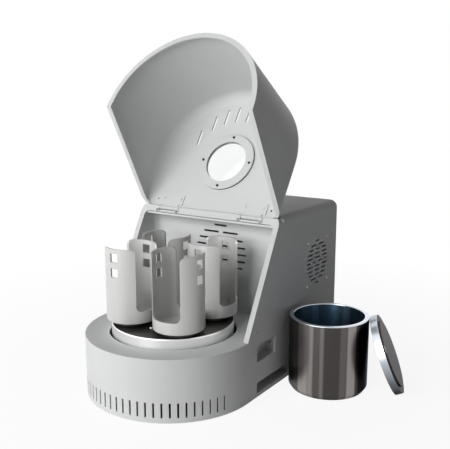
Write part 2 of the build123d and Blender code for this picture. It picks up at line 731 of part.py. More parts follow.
with BuildPart() as hood_shell:
    add(HOOD_OUTSIDE)
    add(HOOD_CAVITY, mode=Mode.SUBTRACT)
    add(HOOD_MOUTH, mode=Mode.SUBTRACT)
    with BuildSketch(UP.offset(HOOD_TOP)):
        with Locations((0, WINDOW_Y)):
            Circle(WINDOW_HOLE_R)
        for slot_x in HOOD_SLOT_XS:
            with Locations((slot_x, WINDOW_Y - sqrt(HOOD_SLOT_ARC_R**2 - slot_x**2))):
                Rectangle(HOOD_SLOT_WIDTH, HOOD_SLOT_LENGTH, align=(Align.CENTER, Align.MAX))
        with Locations([(side * (HALF - HOOD_HOLE_INSET), HOOD_HOLE_Y) for side in (-1, 1)]):
            Circle(HOOD_HOLE_R)
    extrude(amount=-SHEET, mode=Mode.SUBTRACT)
    with BuildSketch(Plane.XZ.offset(HALF - HOOD_CENTRE_Y)):
        with Locations((0, HOOD_RIM_Z + 2 * SHEET + HOOD_HOLE_R)):
            Circle(HOOD_HOLE_R)
    extrude(amount=-2 * SHEET, mode=Mode.SUBTRACT)
    with BuildSketch(INSIDE):
        with Locations(LEAF_SCREWS):
            Circle(SCREW_R + FIT_GAP)
    extrude(amount=-HOOD_BLIND, mode=Mode.SUBTRACT)
    with BuildSketch(WINDOW_FACE):
        with Locations(*RING_SCREWS):
            Circle(SCREW_R + FIT_GAP)
    extrude(amount=-HOOD_BLIND, mode=Mode.SUBTRACT)
save_open(hood_shell, "hood_shell")

with BuildPart() as hood_window:
    with BuildSketch(WINDOW_FACE):
        Circle(WINDOW_PANE_R)
    extrude(amount=WINDOW_PANE_T)
save_open(hood_window, "hood_window")

with BuildPart() as window_gasket:
    with BuildSketch(WINDOW_FACE):
        Circle(WINDOW_RING_R)
        Circle(WINDOW_PANE_R, mode=Mode.SUBTRACT)
        with Locations(*RING_SCREWS):
            Circle(SCREW_R + FIT_GAP, mode=Mode.SUBTRACT)
    extrude(amount=WINDOW_PANE_T)
save_open(window_gasket, "window_gasket")

with BuildPart() as window_ring:
    with BuildSketch(RING_FACE):
        Circle(WINDOW_RING_R)
        Circle(WINDOW_HOLE_R, mode=Mode.SUBTRACT)
        with Locations(*RING_SCREWS):
            Circle(SCREW_R + FIT_GAP, mode=Mode.SUBTRACT)
    extrude(amount=-WINDOW_RING_T)
    face_rims = window_ring.edges().filter_by(GeomType.CIRCLE).group_by(Axis.Z)[0]
    chamfer(face_rims.sort_by(SortBy.RADIUS)[-1], WINDOW_RING_CHAMFER)
save_open(window_ring, "window_ring")

with BuildPart() as hood_screws:
    with Locations([RING_FACE.location * spot for spot in RING_SCREWS]):
        add(screw(WINDOW_RING_T + WINDOW_PANE_T + HOOD_BLIND))
    with Locations([INSIDE.offset(LEAF_T).location * Location(spot) for spot in LEAF_SCREWS]):
        add(screw(LEAF_T + HOOD_BLIND))
save_open(hood_screws, "hood_screws")

with BuildPart() as hinge_hood_leaves:
    with BuildSketch(INSIDE):
        with Locations([(hinge_x, -LEAF_FRONT) for hinge_x in HINGE_XS]):
            Rectangle(
                HINGE_WIDTH,
                HOOD_LEAF_REACH - HINGE_BARREL_R,
                align=(Align.CENTER, Align.MAX),
            )
            Rectangle(LEAF_NECK, HINGE_Y - LEAF_FRONT, align=(Align.CENTER, Align.MAX))
    extrude(amount=LEAF_T)
    add(barrels(HINGE_XS, LEAF_NECK, KNUCKLE_R))
    add(barrels(HINGE_XS, LEAF_NECK, HINGE_PIN_R + RUNNING_GAP), mode=Mode.SUBTRACT)
    with BuildSketch(INSIDE):
        with Locations(LEAF_SCREWS):
            Circle(SCREW_R + FIT_GAP)
    extrude(amount=LEAF_T, mode=Mode.SUBTRACT)
save_open(hinge_hood_leaves, "hinge_hood_leaves")

# ================================================================ gears


def involute(angle):
    """Involute function of a pressure angle in radians."""
    return tan(angle) - angle


def tooth_half_angle(radius, pitch_r):
    """Half the angle a tooth spans at one radius."""
    base_r = pitch_r * cos(radians(PRESSURE_DEG))
    at_pitch = (pi * GEAR_MODULE / 2 - BACKLASH / 2) / (2 * pitch_r)
    lean = acos(base_r / max(radius, base_r))
    return at_pitch + involute(radians(PRESSURE_DEG)) - involute(lean)


def gear(teeth, phase_deg, bore_r):
    """Involute spur gear between the gear levels, one tooth's middle at phase_deg."""
    pitch_r = GEAR_MODULE * teeth / 2
    radii = [pitch_r - DEDENDUM * GEAR_MODULE, pitch_r, pitch_r + ADDENDUM * GEAR_MODULE]
    outline = []
    for tooth in range(teeth):
        middle = radians(phase_deg) + 2 * pi * tooth / teeth
        flank = [(radius, tooth_half_angle(radius, pitch_r)) for radius in radii]
        outline += [(r * cos(middle - half), r * sin(middle - half)) for r, half in flank]
        outline += [(r * cos(middle + half), r * sin(middle + half)) for r, half in flank[::-1]]
    with BuildPart() as wheel:
        with BuildSketch(UP.offset(GEAR_BOTTOM)):
            with BuildLine():
                Polyline(*outline, close=True)
            make_face()
            Circle(bore_r, mode=Mode.SUBTRACT)
        extrude(amount=GEAR_T)
    return wheel.part


def rings(spots, bottom, height, outer_r, inner_r):
    """Equal flat rings at the given (x, y) spots."""
    with BuildPart() as pieces:
        with BuildSketch(UP.offset(bottom)):
            with Locations(spots):
                Circle(outer_r)
                Circle(inner_r, mode=Mode.SUBTRACT)
        extrude(amount=height)
    return pieces.part


AXIS_SPOT = [(0, 0)]
STATION_SPOTS = [station(degs) for degs in STATION_DEGS]
SUN_SCREW_SPOTS = PolarLocations(SUN_SCREW_CIRCLE_R, STATIONS).local_locations
BOLT_SEAT = GEAR_TOP - BOLT_HEAD_T - SEAT_GAP

with BuildPart() as sun_gear:
    add(gear(SUN_TEETH, 0, SUN_BORE_R))
    with BuildSketch(UP.offset(GEAR_TOP)):
        with Locations(*SUN_SCREW_SPOTS):
            Circle(BOLT_HEAD_R + SEAT_GAP)
    extrude(amount=BOLT_SEAT - GEAR_TOP, mode=Mode.SUBTRACT)
    with BuildSketch(UP.offset(GEAR_TOP)):
        with Locations(*SUN_SCREW_SPOTS):
            Circle(BOLT_R + FIT_GAP)
    extrude(amount=-GEAR_T, mode=Mode.SUBTRACT)
save(sun_gear, "sun_gear")

with BuildPart() as sun_gear_screws:
    with Locations([Location((0, 0, BOLT_SEAT)) * spot for spot in SUN_SCREW_SPOTS]):
        add(screw(BOLT_SEAT - GEAR_BOTTOM + SCREW_LENGTH, BOLT_R, BOLT_HEAD_R, BOLT_HEAD_T))
save(sun_gear_screws, "sun_gear_screws")

# ================================================================ frame of the drive
HOUSING_BOLTS = PolarLocations((HOUSING_R + HOUSING_FLANGE_R) / 2, STATIONS).local_locations
MOTOR_BOLTS = [
    Location((0, MOTOR_Y, MOTOR_FLANGE_T - HOUSING_FLANGE_T)) * spot
    for spot in PolarLocations((MOTOR_R + MOTOR_FLANGE_R) / 2, STATIONS, MOTOR_BOLT_DEG).local_locations
]
BOLT_SPOTS = [
    Location((0, 0, PLATE_TOP + HOUSING_FLANGE_T)) * spot for spot in HOUSING_BOLTS + MOTOR_BOLTS
]
POST_X = HALF - CASING_WALL - PLATE_EDGE_GAP - POST_EDGE - POST_R
POST_SPOTS = [(side * POST_X, row) for side in (-1, 1) for row in POST_ROWS]

with BuildPart() as mounting_plate:
    with BuildSketch(UP.offset(PLATE_BOTTOM)):
        add(PLATE_OUTLINE)
        Circle(HOUSING_SPIGOT_R, mode=Mode.SUBTRACT)
        with Locations((0, MOTOR_Y)):
            Circle(MOTOR_PILOT_R, mode=Mode.SUBTRACT)
        with Locations(*BOLT_SPOTS):
            Circle(BOLT_R + FIT_GAP, mode=Mode.SUBTRACT)
    extrude(amount=PLATE_T)
save(mounting_plate, "mounting_plate")

with BuildPart() as mounting_posts:
    with BuildSketch(UP.offset(BASE_TOP)):
        with Locations(POST_SPOTS):
            Circle(POST_R)
    extrude(amount=PLATE_BOTTOM - BASE_TOP)
save(mounting_posts, "mounting_posts")

with BuildPart() as drive_bolts:
    with Locations(BOLT_SPOTS):
        add(screw(HOUSING_FLANGE_T + PLATE_T, BOLT_R, BOLT_HEAD_R, BOLT_HEAD_T))
save(drive_bolts, "drive_bolts")

with BuildPart() as bearing_housing:
    add(rings(AXIS_SPOT, PLATE_BOTTOM, PLATE_T, HOUSING_SPIGOT_R, HOUSING_SHOULDER_R))
    add(rings(AXIS_SPOT, PLATE_TOP, HOUSING_FLANGE_T, HOUSING_FLANGE_R, HOUSING_SHOULDER_R))
    add(rings(AXIS_SPOT, PLATE_TOP, GEAR_BOTTOM - PLATE_TOP, HOUSING_R, HOUSING_SHOULDER_R))
    with BuildSketch(UP.offset(PLATE_BOTTOM), UP.offset(GEAR_BOTTOM - MAIN_BEARING_T)):
        Circle(MAIN_BEARING_R)
    extrude(amount=MAIN_BEARING_T, mode=Mode.SUBTRACT)
    with BuildSketch(UP.offset(PLATE_TOP)):
        with Locations(*HOUSING_BOLTS):
            Circle(BOLT_R + FIT_GAP)
    extrude(amount=HOUSING_FLANGE_T, mode=Mode.SUBTRACT)
    with BuildSketch(UP.offset(GEAR_BOTTOM)):
        with Locations(*SUN_SCREW_SPOTS):
            Circle(BOLT_R + FIT_GAP)
    extrude(amount=-SCREW_LENGTH, mode=Mode.SUBTRACT)
save(bearing_housing, "bearing_housing")

with BuildPart() as main_bearings:
    for bottom in (PLATE_BOTTOM, GEAR_BOTTOM - MAIN_BEARING_T):
        add(rings(AXIS_SPOT, bottom, MAIN_BEARING_T, MAIN_BEARING_R, SHAFT_R + RUNNING_GAP))
save(main_bearings, "main_bearings")

# ================================================================ motor and belt
MOTOR_SPOT = [(0, MOTOR_Y)]
MOTOR_TOP = PLATE_TOP + MOTOR_HEIGHT
PULLEY_TOP = PULLEY_BOTTOM + PULLEY_T
BELT_MIDDLE = PULLEY_BOTTOM + PULLEY_T / 2


def pulley(spot, pitch_r, bore_r):
    """Wheel with a belt groove, at the pulley levels."""
    floor_r = pitch_r - BELT_THICKNESS
    rim_r = pitch_r + PULLEY_LAND
    groove = BELT_WIDTH / 2 + BELT_GAP
    mouth = groove + GROOVE_FLARE
    with BuildPart() as wheel:
        with BuildSketch(Plane.XZ):
            with BuildLine():
                Polyline(
                    (bore_r, PULLEY_BOTTOM),
                    (rim_r, PULLEY_BOTTOM),
                    (rim_r, BELT_MIDDLE - mouth),
                    (floor_r, BELT_MIDDLE - groove),
                    (floor_r, BELT_MIDDLE + groove),
                    (rim_r, BELT_MIDDLE + mouth),
                    (rim_r, PULLEY_TOP),
                    (bore_r, PULLEY_TOP),
                    close=True,
                )
            make_face()
        revolve(axis=Axis.Z)
    return wheel.part.moved(Location((*spot, 0)))


def belt_loop(grow):
    """Loop round both pulleys, grown outward from the groove floors."""
    with BuildSketch() as loop:
        Circle(DRIVEN_PITCH_R - BELT_THICKNESS + grow)
        with Locations(MOTOR_SPOT):
            Circle(MOTOR_PITCH_R - BELT_THICKNESS + grow)
        make_hull()
    return loop.sketch


BELT_OUTER = belt_loop(BELT_GAP + BELT_THICKNESS)
BELT_INNER = belt_loop(BELT_GAP)

with BuildPart() as drive_belt:
    with BuildSketch(UP.offset(BELT_MIDDLE - BELT_WIDTH / 2)):
        add(BELT_OUTER)
        add(BELT_INNER, mode=Mode.SUBTRACT)
    extrude(amount=BELT_WIDTH)
save(drive_belt, "drive_belt")

with BuildPart() as motor:
    add(rings(MOTOR_SPOT, PLATE_BOTTOM, PLATE_T, MOTOR_PILOT_R, MOTOR_SHAFT_R + RUNNING_GAP))
    with BuildSketch(UP.offset(PLATE_TOP)):
        with Locations(MOTOR_SPOT):
            Circle(MOTOR_FLANGE_R)
            with PolarLocations((MOTOR_R + MOTOR_FLANGE_R) / 2, STATIONS, MOTOR_BOLT_DEG):
                Circle(BOLT_R + FIT_GAP, mode=Mode.SUBTRACT)
    extrude(amount=MOTOR_FLANGE_T)
    with BuildSketch(UP.offset(PLATE_TOP + MOTOR_FLANGE_T)):
        with Locations(MOTOR_SPOT):
            Circle(MOTOR_R - MOTOR_RIB)
            with PolarLocations(MOTOR_R - MOTOR_RIB, MOTOR_RIB_COUNT):
                Rectangle(2 * MOTOR_RIB, MOTOR_RIB)
    extrude(amount=MOTOR_HEIGHT - MOTOR_FLANGE_T - MOTOR_CAP_T)
    with BuildSketch(UP.offset(MOTOR_TOP - MOTOR_CAP_T)):
        with Locations(MOTOR_SPOT):
            Circle(MOTOR_CAP_R)
    extrude(amount=MOTOR_CAP_T)
    with BuildSketch(UP.offset(PLATE_TOP)):
        with Locations(MOTOR_SPOT):
            Circle(MOTOR_SHAFT_R + RUNNING_GAP)
    extrude(amount=MOTOR_BORE_DEPTH, mode=Mode.SUBTRACT)
save(motor, "motor")

with BuildPart() as motor_rotor:
    with BuildSketch(UP.offset(PULLEY_BOTTOM)):
        with Locations(MOTOR_SPOT):
            Circle(MOTOR_SHAFT_R)
    extrude(amount=PLATE_TOP + MOTOR_BORE_DEPTH - PULLEY_BOTTOM - SEAT_GAP)
    add(pulley(MOTOR_SPOT[0], MOTOR_PITCH_R, MOTOR_SHAFT_R))
save(motor_rotor, "motor_rotor")

# ================================================================ carrier
with BuildPart() as main_shaft:
    with BuildSketch(UP.offset(SHAFT_BOTTOM)):
        Circle(SHAFT_R)
    extrude(amount=DISC_TOP - SHAFT_BOTTOM)
save(main_shaft, "main_shaft")

with BuildPart() as driven_pulley:
    add(pulley(AXIS_SPOT[0], DRIVEN_PITCH_R, SHAFT_R))
save(driven_pulley, "driven_pulley")

with BuildPart() as carrier_hub:
    with BuildSketch(UP.offset(HUB_BOTTOM)):
        Circle(HUB_R)
        Circle(SHAFT_R, mode=Mode.SUBTRACT)
        with Locations(STATION_SPOTS):
            Circle(HUB_NOTCH_R, mode=Mode.SUBTRACT)
        with PolarLocations(DISC_SCREW_R, STATIONS, DISC_SCREW_DEG):
            Circle(BOLT_R + FIT_GAP, mode=Mode.SUBTRACT)
    extrude(amount=HUB_T)
save(carrier_hub, "carrier_hub")

with BuildPart() as sun_disc:
    with BuildSketch(UP.offset(DISC_BOTTOM)):
        Circle(DISC_R)
    extrude(amount=DISC_T)
    chamfer(sun_disc.edges().group_by(Axis.Z)[-1], DISC_CHAMFER)
    with BuildSketch(UP.offset(DISC_BOTTOM)):
        Circle(SHAFT_R)
        with Locations(STATION_SPOTS):
            Circle(SPINDLE_BEARING_R)
        with PolarLocations(DISC_SCREW_R, STATIONS, DISC_SCREW_DEG):
            Circle(BOLT_R + FIT_GAP)
    extrude(amount=DISC_T, mode=Mode.SUBTRACT)
save(sun_disc, "sun_disc")

with BuildPart() as disc_screws:
    with Locations(UP.offset(DISC_TOP)):
        with PolarLocations(DISC_SCREW_R, STATIONS, DISC_SCREW_DEG):
            add(screw(DISC_T + HUB_T, BOLT_R, BOLT_HEAD_R, DISC_SCREW_HEAD_T))
save(disc_screws, "disc_screws")

with BuildPart() as shaft_cap:
    with BuildSketch(UP.offset(DISC_TOP)):
        Circle(CAP_R)
    extrude(amount=CAP_T)
    chamfer(shaft_cap.edges().group_by(Axis.Z)[-1], CAP_CHAMFER)
save(shaft_cap, "shaft_cap")

with BuildPart() as spindle_bearings:
    for bottom in (DISC_BOTTOM, DISC_TOP - SPINDLE_BEARING_T):
        add(rings(
            STATION_SPOTS, bottom, SPINDLE_BEARING_T, SPINDLE_BEARING_R, SPINDLE_R + RUNNING_GAP
        ))
save(spindle_bearings, "spindle_bearings")

# ================================================================ planets
FLOOR_TOP = HOLDER_BASE + HOLDER_FLOOR
SEAT_TOP = FLOOR_TOP + HOLDER_SEAT_DEPTH
SCREW_SEAT = FLOOR_TOP - HOLDER_SCREW_HEAD_T - SEAT_GAP
WINDOW_ZS = [HOLDER_TOP - WINDOW_FIRST_DROP - WINDOW_PITCH * k for k in range(WINDOW_COUNT)]

with BuildPart() as spindle_form:
    with BuildSketch(UP.offset(GEAR_BOTTOM - WASHER_T)):
        Circle(SPINDLE_LIP_R)
    extrude(amount=WASHER_T)
    with BuildSketch(UP.offset(GEAR_BOTTOM)):
        Circle(SPINDLE_R)
    extrude(amount=DISC_TOP + SPINDLE_LIFT - GEAR_BOTTOM)
    with BuildSketch(UP.offset(DISC_TOP + RUNNING_GAP)):
        Circle(SPINDLE_LIP_R)
    extrude(amount=SPINDLE_LIFT - RUNNING_GAP)
    with BuildSketch(UP.offset(DISC_TOP + SPINDLE_LIFT)):
        Circle(SPINDLE_FLANGE_R)
    extrude(amount=HOLDER_BASE - DISC_TOP - SPINDLE_LIFT)
    with BuildSketch(UP.offset(HOLDER_BASE)):
        Circle(HOLDER_SCREW_R)
    extrude(amount=SCREW_SEAT - HOLDER_SCREW_DEPTH - HOLDER_BASE, mode=Mode.SUBTRACT)

with BuildPart() as holder_form:
    with BuildSketch(UP.offset(HOLDER_BASE)):
        Circle(HOLDER_R)
    extrude(amount=HOLDER_TOP - HOLDER_BASE)
    fillet(holder_form.edges().group_by(Axis.Z)[0], HOLDER_FOOT_R)
    with BuildSketch(UP.offset(FLOOR_TOP)):
        Circle(HOLDER_SEAT_R)
    extrude(amount=HOLDER_SEAT_DEPTH, mode=Mode.SUBTRACT)
    with BuildSketch(UP.offset(SEAT_TOP)):
        Circle(HOLDER_R - HOLDER_WALL)
    extrude(amount=HOLDER_TOP - SEAT_TOP, mode=Mode.SUBTRACT)
    with BuildSketch(Plane.XZ) as slot_shape:
        with Locations((0, HOLDER_SLOT_BOTTOM)):
            Rectangle(HOLDER_SLOT_WIDTH, HOLDER_TOP, align=(Align.CENTER, Align.MIN))
        fillet(slot_shape.vertices().group_by(Axis.Y)[0], HOLDER_SLOT_R)
        with Locations((0, HOLDER_TOP)):
            Rectangle(
                HOLDER_SLOT_WIDTH + 2 * HOLDER_EAR_R,
                HOLDER_EAR_R,
                align=(Align.CENTER, Align.MAX),
            )
        with Locations((0, HOLDER_TOP - HOLDER_EAR_R)):
            with GridLocations(HOLDER_SLOT_WIDTH + 2 * HOLDER_EAR_R, 1, 2, 1):
                Circle(HOLDER_EAR_R, mode=Mode.SUBTRACT)
    extrude(amount=HOLDER_R, both=True, mode=Mode.SUBTRACT)
    with BuildSketch(Plane.YZ):
        with Locations([(0, window_z) for window_z in WINDOW_ZS]):
            Rectangle(WINDOW_SIZE, WINDOW_SIZE)
    extrude(amount=HOLDER_R, both=True, mode=Mode.SUBTRACT)
    with BuildSketch(UP.offset(HOLDER_BASE)):
        Circle(HOLDER_SCREW_R + FIT_GAP)
    extrude(amount=HOLDER_FLOOR, mode=Mode.SUBTRACT)
    with BuildSketch(UP.offset(SCREW_SEAT)):
        Circle(HOLDER_SCREW_HEAD_R + SEAT_GAP)
    extrude(amount=HOLDER_FLOOR, mode=Mode.SUBTRACT)

SPINDLE_FORM = spindle_form.part
HOLDER_FORM = holder_form.part
HOLDER_SCREW_FORM = screw(
    HOLDER_SCREW_DEPTH, HOLDER_SCREW_R, HOLDER_SCREW_HEAD_R, HOLDER_SCREW_HEAD_T
)

for number, (degs, spot) in enumerate(zip(STATION_DEGS, STATION_SPOTS)):
    turned = Location((*spot, 0), (0, 0, number * 360.0 / STATIONS))
    in_mesh = degs * (1 + SUN_TEETH / PLANET_TEETH) + 180.0 * (1 + 1 / PLANET_TEETH)
    with BuildPart() as spindle:
        with Locations(turned):
            add(SPINDLE_FORM)
    save(spindle, f"spindle_{number + 1}")
    with BuildPart() as planet_gear:
        with Locations(spot):
            add(gear(PLANET_TEETH, in_mesh, SPINDLE_R))
    save(planet_gear, f"planet_gear_{number + 1}")
    with BuildPart() as jar_holder:
        with Locations(turned):
            add(HOLDER_FORM)
    save(jar_holder, f"jar_holder_{number + 1}")
    with BuildPart() as holder_screw:
        with Locations(turned * Location((0, 0, SCREW_SEAT))):
            add(HOLDER_SCREW_FORM)
    save(holder_screw, f"holder_screw_{number + 1}")

# ================================================================ fan
FAN_CENTRE = FAN_PLACE.offset(-SHEET)
FAN_BACK = FAN_CENTRE.offset(-FAN_DEPTH)

with BuildPart() as fan_frame:
    with BuildSketch(FAN_CENTRE):
        RectangleRounded(FAN_SIZE, FAN_SIZE, PANEL_CORNER_R)
        Circle(FAN_DUCT_R, mode=Mode.SUBTRACT)
    extrude(amount=-FAN_DEPTH)
    with BuildSketch(FAN_BACK):
        Circle(FAN_HUB_R)
        Rectangle(2 * FAN_DUCT_R + FAN_HUB_T, FAN_HUB_T)
        Rectangle(FAN_HUB_T, 2 * FAN_DUCT_R + FAN_HUB_T)
        Circle(FAN_SHAFT_R + RUNNING_GAP, mode=Mode.SUBTRACT)
    extrude(amount=FAN_HUB_T)
    with BuildSketch(FAN_CENTRE):
        with Locations(*FAN_SCREWS):
            Circle(SCREW_R)
    extrude(amount=-SCREW_LENGTH, mode=Mode.SUBTRACT)
save(fan_frame, "fan_frame")

BLADE_MIDDLE = FAN_DEPTH / 2 + FAN_HUB_T / 2
BLADE_REACH = FAN_BLADE_R - FAN_HUB_R

with BuildPart() as fan_rotor:
    with BuildSketch(FAN_BACK):
        Circle(FAN_SHAFT_R)
    extrude(amount=FAN_HUB_T + 2 * FAN_SHAFT_R)
    with BuildSketch(FAN_BACK.offset(FAN_HUB_T + FAN_GAP)):
        Circle(FAN_HUB_R)
    extrude(amount=FAN_DEPTH - FAN_HUB_T - 2 * FAN_GAP)
    with Locations(FAN_BACK.offset(BLADE_MIDDLE)):
        with PolarLocations(FAN_HUB_R - FAN_ROOT, FAN_BLADE_COUNT):
            Box(
                BLADE_REACH,
                FAN_BLADE_CHORD,
                FAN_BLADE_T,
                rotation=(FAN_BLADE_TILT, 0, 0),
                align=(Align.MIN, Align.CENTER, Align.CENTER),
            )
save(fan_rotor, "fan_rotor")

# ================================================================ electrics
INLET_PLACE = Plane(origin=(INLET_X, CASING_REAR, INLET_Z), x_dir=(-1, 0, 0), z_dir=(0, 1, 0))
SWITCH_PLACE = Plane(origin=(SWITCH_X, CASING_REAR, INLET_Z), x_dir=(-1, 0, 0), z_dir=(0, 1, 0))
SWITCH_FACE = SWITCH_PLACE.offset(SWITCH_BEZEL_T)
ROCKER_PIVOT = (CASING_REAR + SWITCH_BEZEL_T - ROCKER_PIVOT_DEPTH, INLET_Z)
ROCKER_PIN_REACH = SWITCH_OPENING[0] / 2 + ROCKER_PIN_LENGTH

with BuildPart() as mains_inlet:
    with BuildSketch(INLET_PLACE):
        RectangleRounded(*INLET_FLANGE, SHEET)
    extrude(amount=INLET_FLANGE_T)
    with BuildSketch(INLET_PLACE):
        Rectangle(*INLET_BODY)
    extrude(amount=-INLET_DEPTH)
    with BuildSketch(INLET_PLACE.offset(INLET_FLANGE_T)):
        Rectangle(*INLET_CAVITY)
    extrude(amount=-INLET_DEPTH, mode=Mode.SUBTRACT)
    with BuildSketch(INLET_PLACE.offset(-INLET_DEPTH)):
        with Locations((-INLET_PIN_PITCH, 0), (0, INLET_PIN_RISE), (INLET_PIN_PITCH, 0)):
            Rectangle(INLET_PIN[1], INLET_PIN[0])
    extrude(amount=INLET_PIN_LENGTH + INLET_FLANGE_T)
save(mains_inlet, "mains_inlet")

with BuildPart() as switch_frame:
    with BuildSketch(SWITCH_PLACE):
        RectangleRounded(*SWITCH_FRAME, SHEET)
    extrude(amount=SWITCH_BEZEL_T)
    with BuildSketch(SWITCH_PLACE):
        Rectangle(*[size + 2 * RECESS_WALL for size in SWITCH_OPENING])
    extrude(amount=-SWITCH_DEPTH)
    with BuildSketch(SWITCH_FACE):
        Rectangle(*SWITCH_OPENING)
    extrude(amount=-SWITCH_DEPTH, mode=Mode.SUBTRACT)
    with BuildSketch(Plane.YZ.offset(SWITCH_X)):
        with Locations(ROCKER_PIVOT):
            Circle(ROCKER_PIN_R + RUNNING_GAP)
    extrude(amount=ROCKER_PIN_REACH + SEAT_GAP, both=True, mode=Mode.SUBTRACT)
save(switch_frame, "switch_frame")

ROCKER_WIDTH = SWITCH_OPENING[0] - 2 * ROCKER_GAP
ROCKER_DEPTH = ROCKER_PIVOT_DEPTH + ROCKER_CROWN
ROCKER_SWING = ROCKER_DEPTH * sin(radians(ROCKER_TILT))
ROCKER_LENGTH = (SWITCH_OPENING[1] - 2 * (ROCKER_GAP + ROCKER_SWING)) / cos(radians(ROCKER_TILT))

with BuildPart() as power_rocker:
    with BuildSketch(Plane.YZ.offset(SWITCH_X - ROCKER_WIDTH / 2)):
        with Locations(Location(ROCKER_PIVOT, -ROCKER_TILT)):
            Rectangle(ROCKER_DEPTH, ROCKER_LENGTH, align=(Align.MIN, Align.CENTER))
    extrude(amount=ROCKER_WIDTH)
    with BuildSketch(Plane.YZ.offset(SWITCH_X)):
        with Locations(ROCKER_PIVOT):
            Circle(ROCKER_PIN_R)
    extrude(amount=ROCKER_PIN_REACH, both=True)
save(power_rocker, "power_rocker")

PANEL_PLACE = UP.offset(BODY_TOP)

with BuildPart() as control_panel:
    with BuildSketch(PANEL_PLACE):
        with Locations(PANEL_SPOT):
            RectangleRounded(*PANEL_SIZE, PANEL_CORNER_R)
    extrude(amount=PANEL_T)
save(control_panel, "control_panel")

with BuildPart() as control_window:
    with BuildSketch(PANEL_PLACE.offset(PANEL_T)):
        with Locations((PANEL_SPOT[0], PANEL_SPOT[1] + DISPLAY_Y)):
            RectangleRounded(*DISPLAY_SIZE, SHEET)
    extrude(amount=DISPLAY_T)
save(control_window, "control_window")

# ================================================================ grinding jar and its lid
JAR_X = HALF + JAR_CLEARANCE + JAR_R
JAR_PLACE = Plane(origin=(JAR_X, JAR_Y, 0))

with BuildPart() as grinding_jar:
    with BuildSketch(JAR_PLACE):
        Circle(JAR_R)
    extrude(amount=JAR_HEIGHT)
    with BuildSketch(JAR_PLACE.offset(JAR_FLOOR)):
        Circle(JAR_R - JAR_WALL)
    extrude(amount=JAR_HEIGHT - JAR_FLOOR, mode=Mode.SUBTRACT)
    jar_rims = grinding_jar.edges().filter_by(GeomType.CIRCLE)
    fillet(jar_rims.filter_by(lambda rim: rim.radius > JAR_R - JAR_EDGE_R), JAR_EDGE_R)
save(grinding_jar, "grinding_jar")

LEAN = radians(LID_TILT)
TOWARD = radians(LID_DIRECTION)
LEAN_HEIGHT = min(2 * LID_R * cos(LEAN), JAR_HEIGHT)
LID_FOOT = JAR_R + LEAN_GAP + LEAN_HEIGHT * tan(LEAN)
LID_CENTRE = LID_FOOT - LID_R * sin(LEAN)
LID_PLACE = Plane(
    origin=(
        JAR_X + LID_CENTRE * cos(TOWARD),
        JAR_Y + LID_CENTRE * sin(TOWARD),
        LID_R * cos(LEAN),
    ),
    x_dir=(-sin(TOWARD), cos(TOWARD), 0),
    z_dir=(cos(LEAN) * cos(TOWARD), cos(LEAN) * sin(TOWARD), sin(LEAN)),
)

with BuildPart() as jar_lid:
    with BuildSketch(LID_PLACE):
        Circle(LID_R)
    extrude(amount=LID_T)
    with BuildSketch(LID_PLACE.offset(LID_T)):
        Circle(LID_SPIGOT_R)
    extrude(amount=LID_SPIGOT_T)
save(jar_lid, "jar_lid")
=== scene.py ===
"""Planetary ball mill: the visual model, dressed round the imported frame.

Laid out as an add-on and run as a script. Each operator makes one piece or one group of like
pieces in the frame's own coordinates, in metres: +X right, +Y rear, +Z up.
"""

import json
from math import cos, pi, radians, sin

import bmesh
import bpy
import numpy as np
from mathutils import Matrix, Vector


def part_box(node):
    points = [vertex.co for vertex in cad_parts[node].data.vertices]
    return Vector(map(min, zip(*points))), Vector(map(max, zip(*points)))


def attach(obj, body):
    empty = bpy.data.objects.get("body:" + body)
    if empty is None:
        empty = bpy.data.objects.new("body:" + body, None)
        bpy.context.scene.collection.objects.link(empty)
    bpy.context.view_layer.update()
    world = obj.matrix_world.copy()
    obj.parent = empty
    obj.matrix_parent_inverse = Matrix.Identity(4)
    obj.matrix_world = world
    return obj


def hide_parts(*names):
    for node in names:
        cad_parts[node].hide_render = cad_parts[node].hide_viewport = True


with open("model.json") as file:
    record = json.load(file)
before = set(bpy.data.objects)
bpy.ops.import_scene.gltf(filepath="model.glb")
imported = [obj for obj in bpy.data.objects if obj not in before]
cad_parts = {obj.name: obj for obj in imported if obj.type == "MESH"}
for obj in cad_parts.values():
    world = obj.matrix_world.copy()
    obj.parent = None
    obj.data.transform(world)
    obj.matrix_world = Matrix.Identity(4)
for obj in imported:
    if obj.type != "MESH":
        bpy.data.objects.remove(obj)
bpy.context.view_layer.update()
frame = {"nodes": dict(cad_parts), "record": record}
NODES = frame["nodes"]
BODY_OF = {
    node: body
    for body, nodes in frame["record"]["behaviour"]["bodies"].items()
    for node in nodes
}
SLOT_OF = {row["node"]: row["material_slot"] for row in frame["record"]["subparts"]}

bl_info = {
    "name": "Planetary ball mill",
    "version": (1, 0, 0),
    "blender": (4, 5, 0),
    "location": "3D View > Sidebar > Ball mill",
    "description": "Makes a bench ball mill with its hood open and a grinding jar beside it",
    "category": "Add Mesh",
}

MM = 0.001


# ------------------------------------------------------------------ sizes and colours


class BallMillSizes(bpy.types.PropertyGroup):
    """Sizes a user would change."""

    sheet_edge: bpy.props.FloatProperty(
        name="Sheet edge", description="Rounding of painted sheet edges",
        default=0.35 * MM, min=0.0, subtype="DISTANCE", unit="LENGTH",
    )
    machined_edge: bpy.props.FloatProperty(
        name="Machined edge", description="Broken edge of machined metal",
        default=0.4 * MM, min=0.0, subtype="DISTANCE", unit="LENGTH",
    )
    screw_edge: bpy.props.FloatProperty(
        name="Screw edge", description="Rounding of small screws' edges",
        default=0.2 * MM, min=0.0, subtype="DISTANCE", unit="LENGTH",
    )
    floor_size: bpy.props.FloatProperty(
        name="Floor size", description="Side of the square floor",
        default=12.0, min=1.0, subtype="DISTANCE", unit="LENGTH",
    )


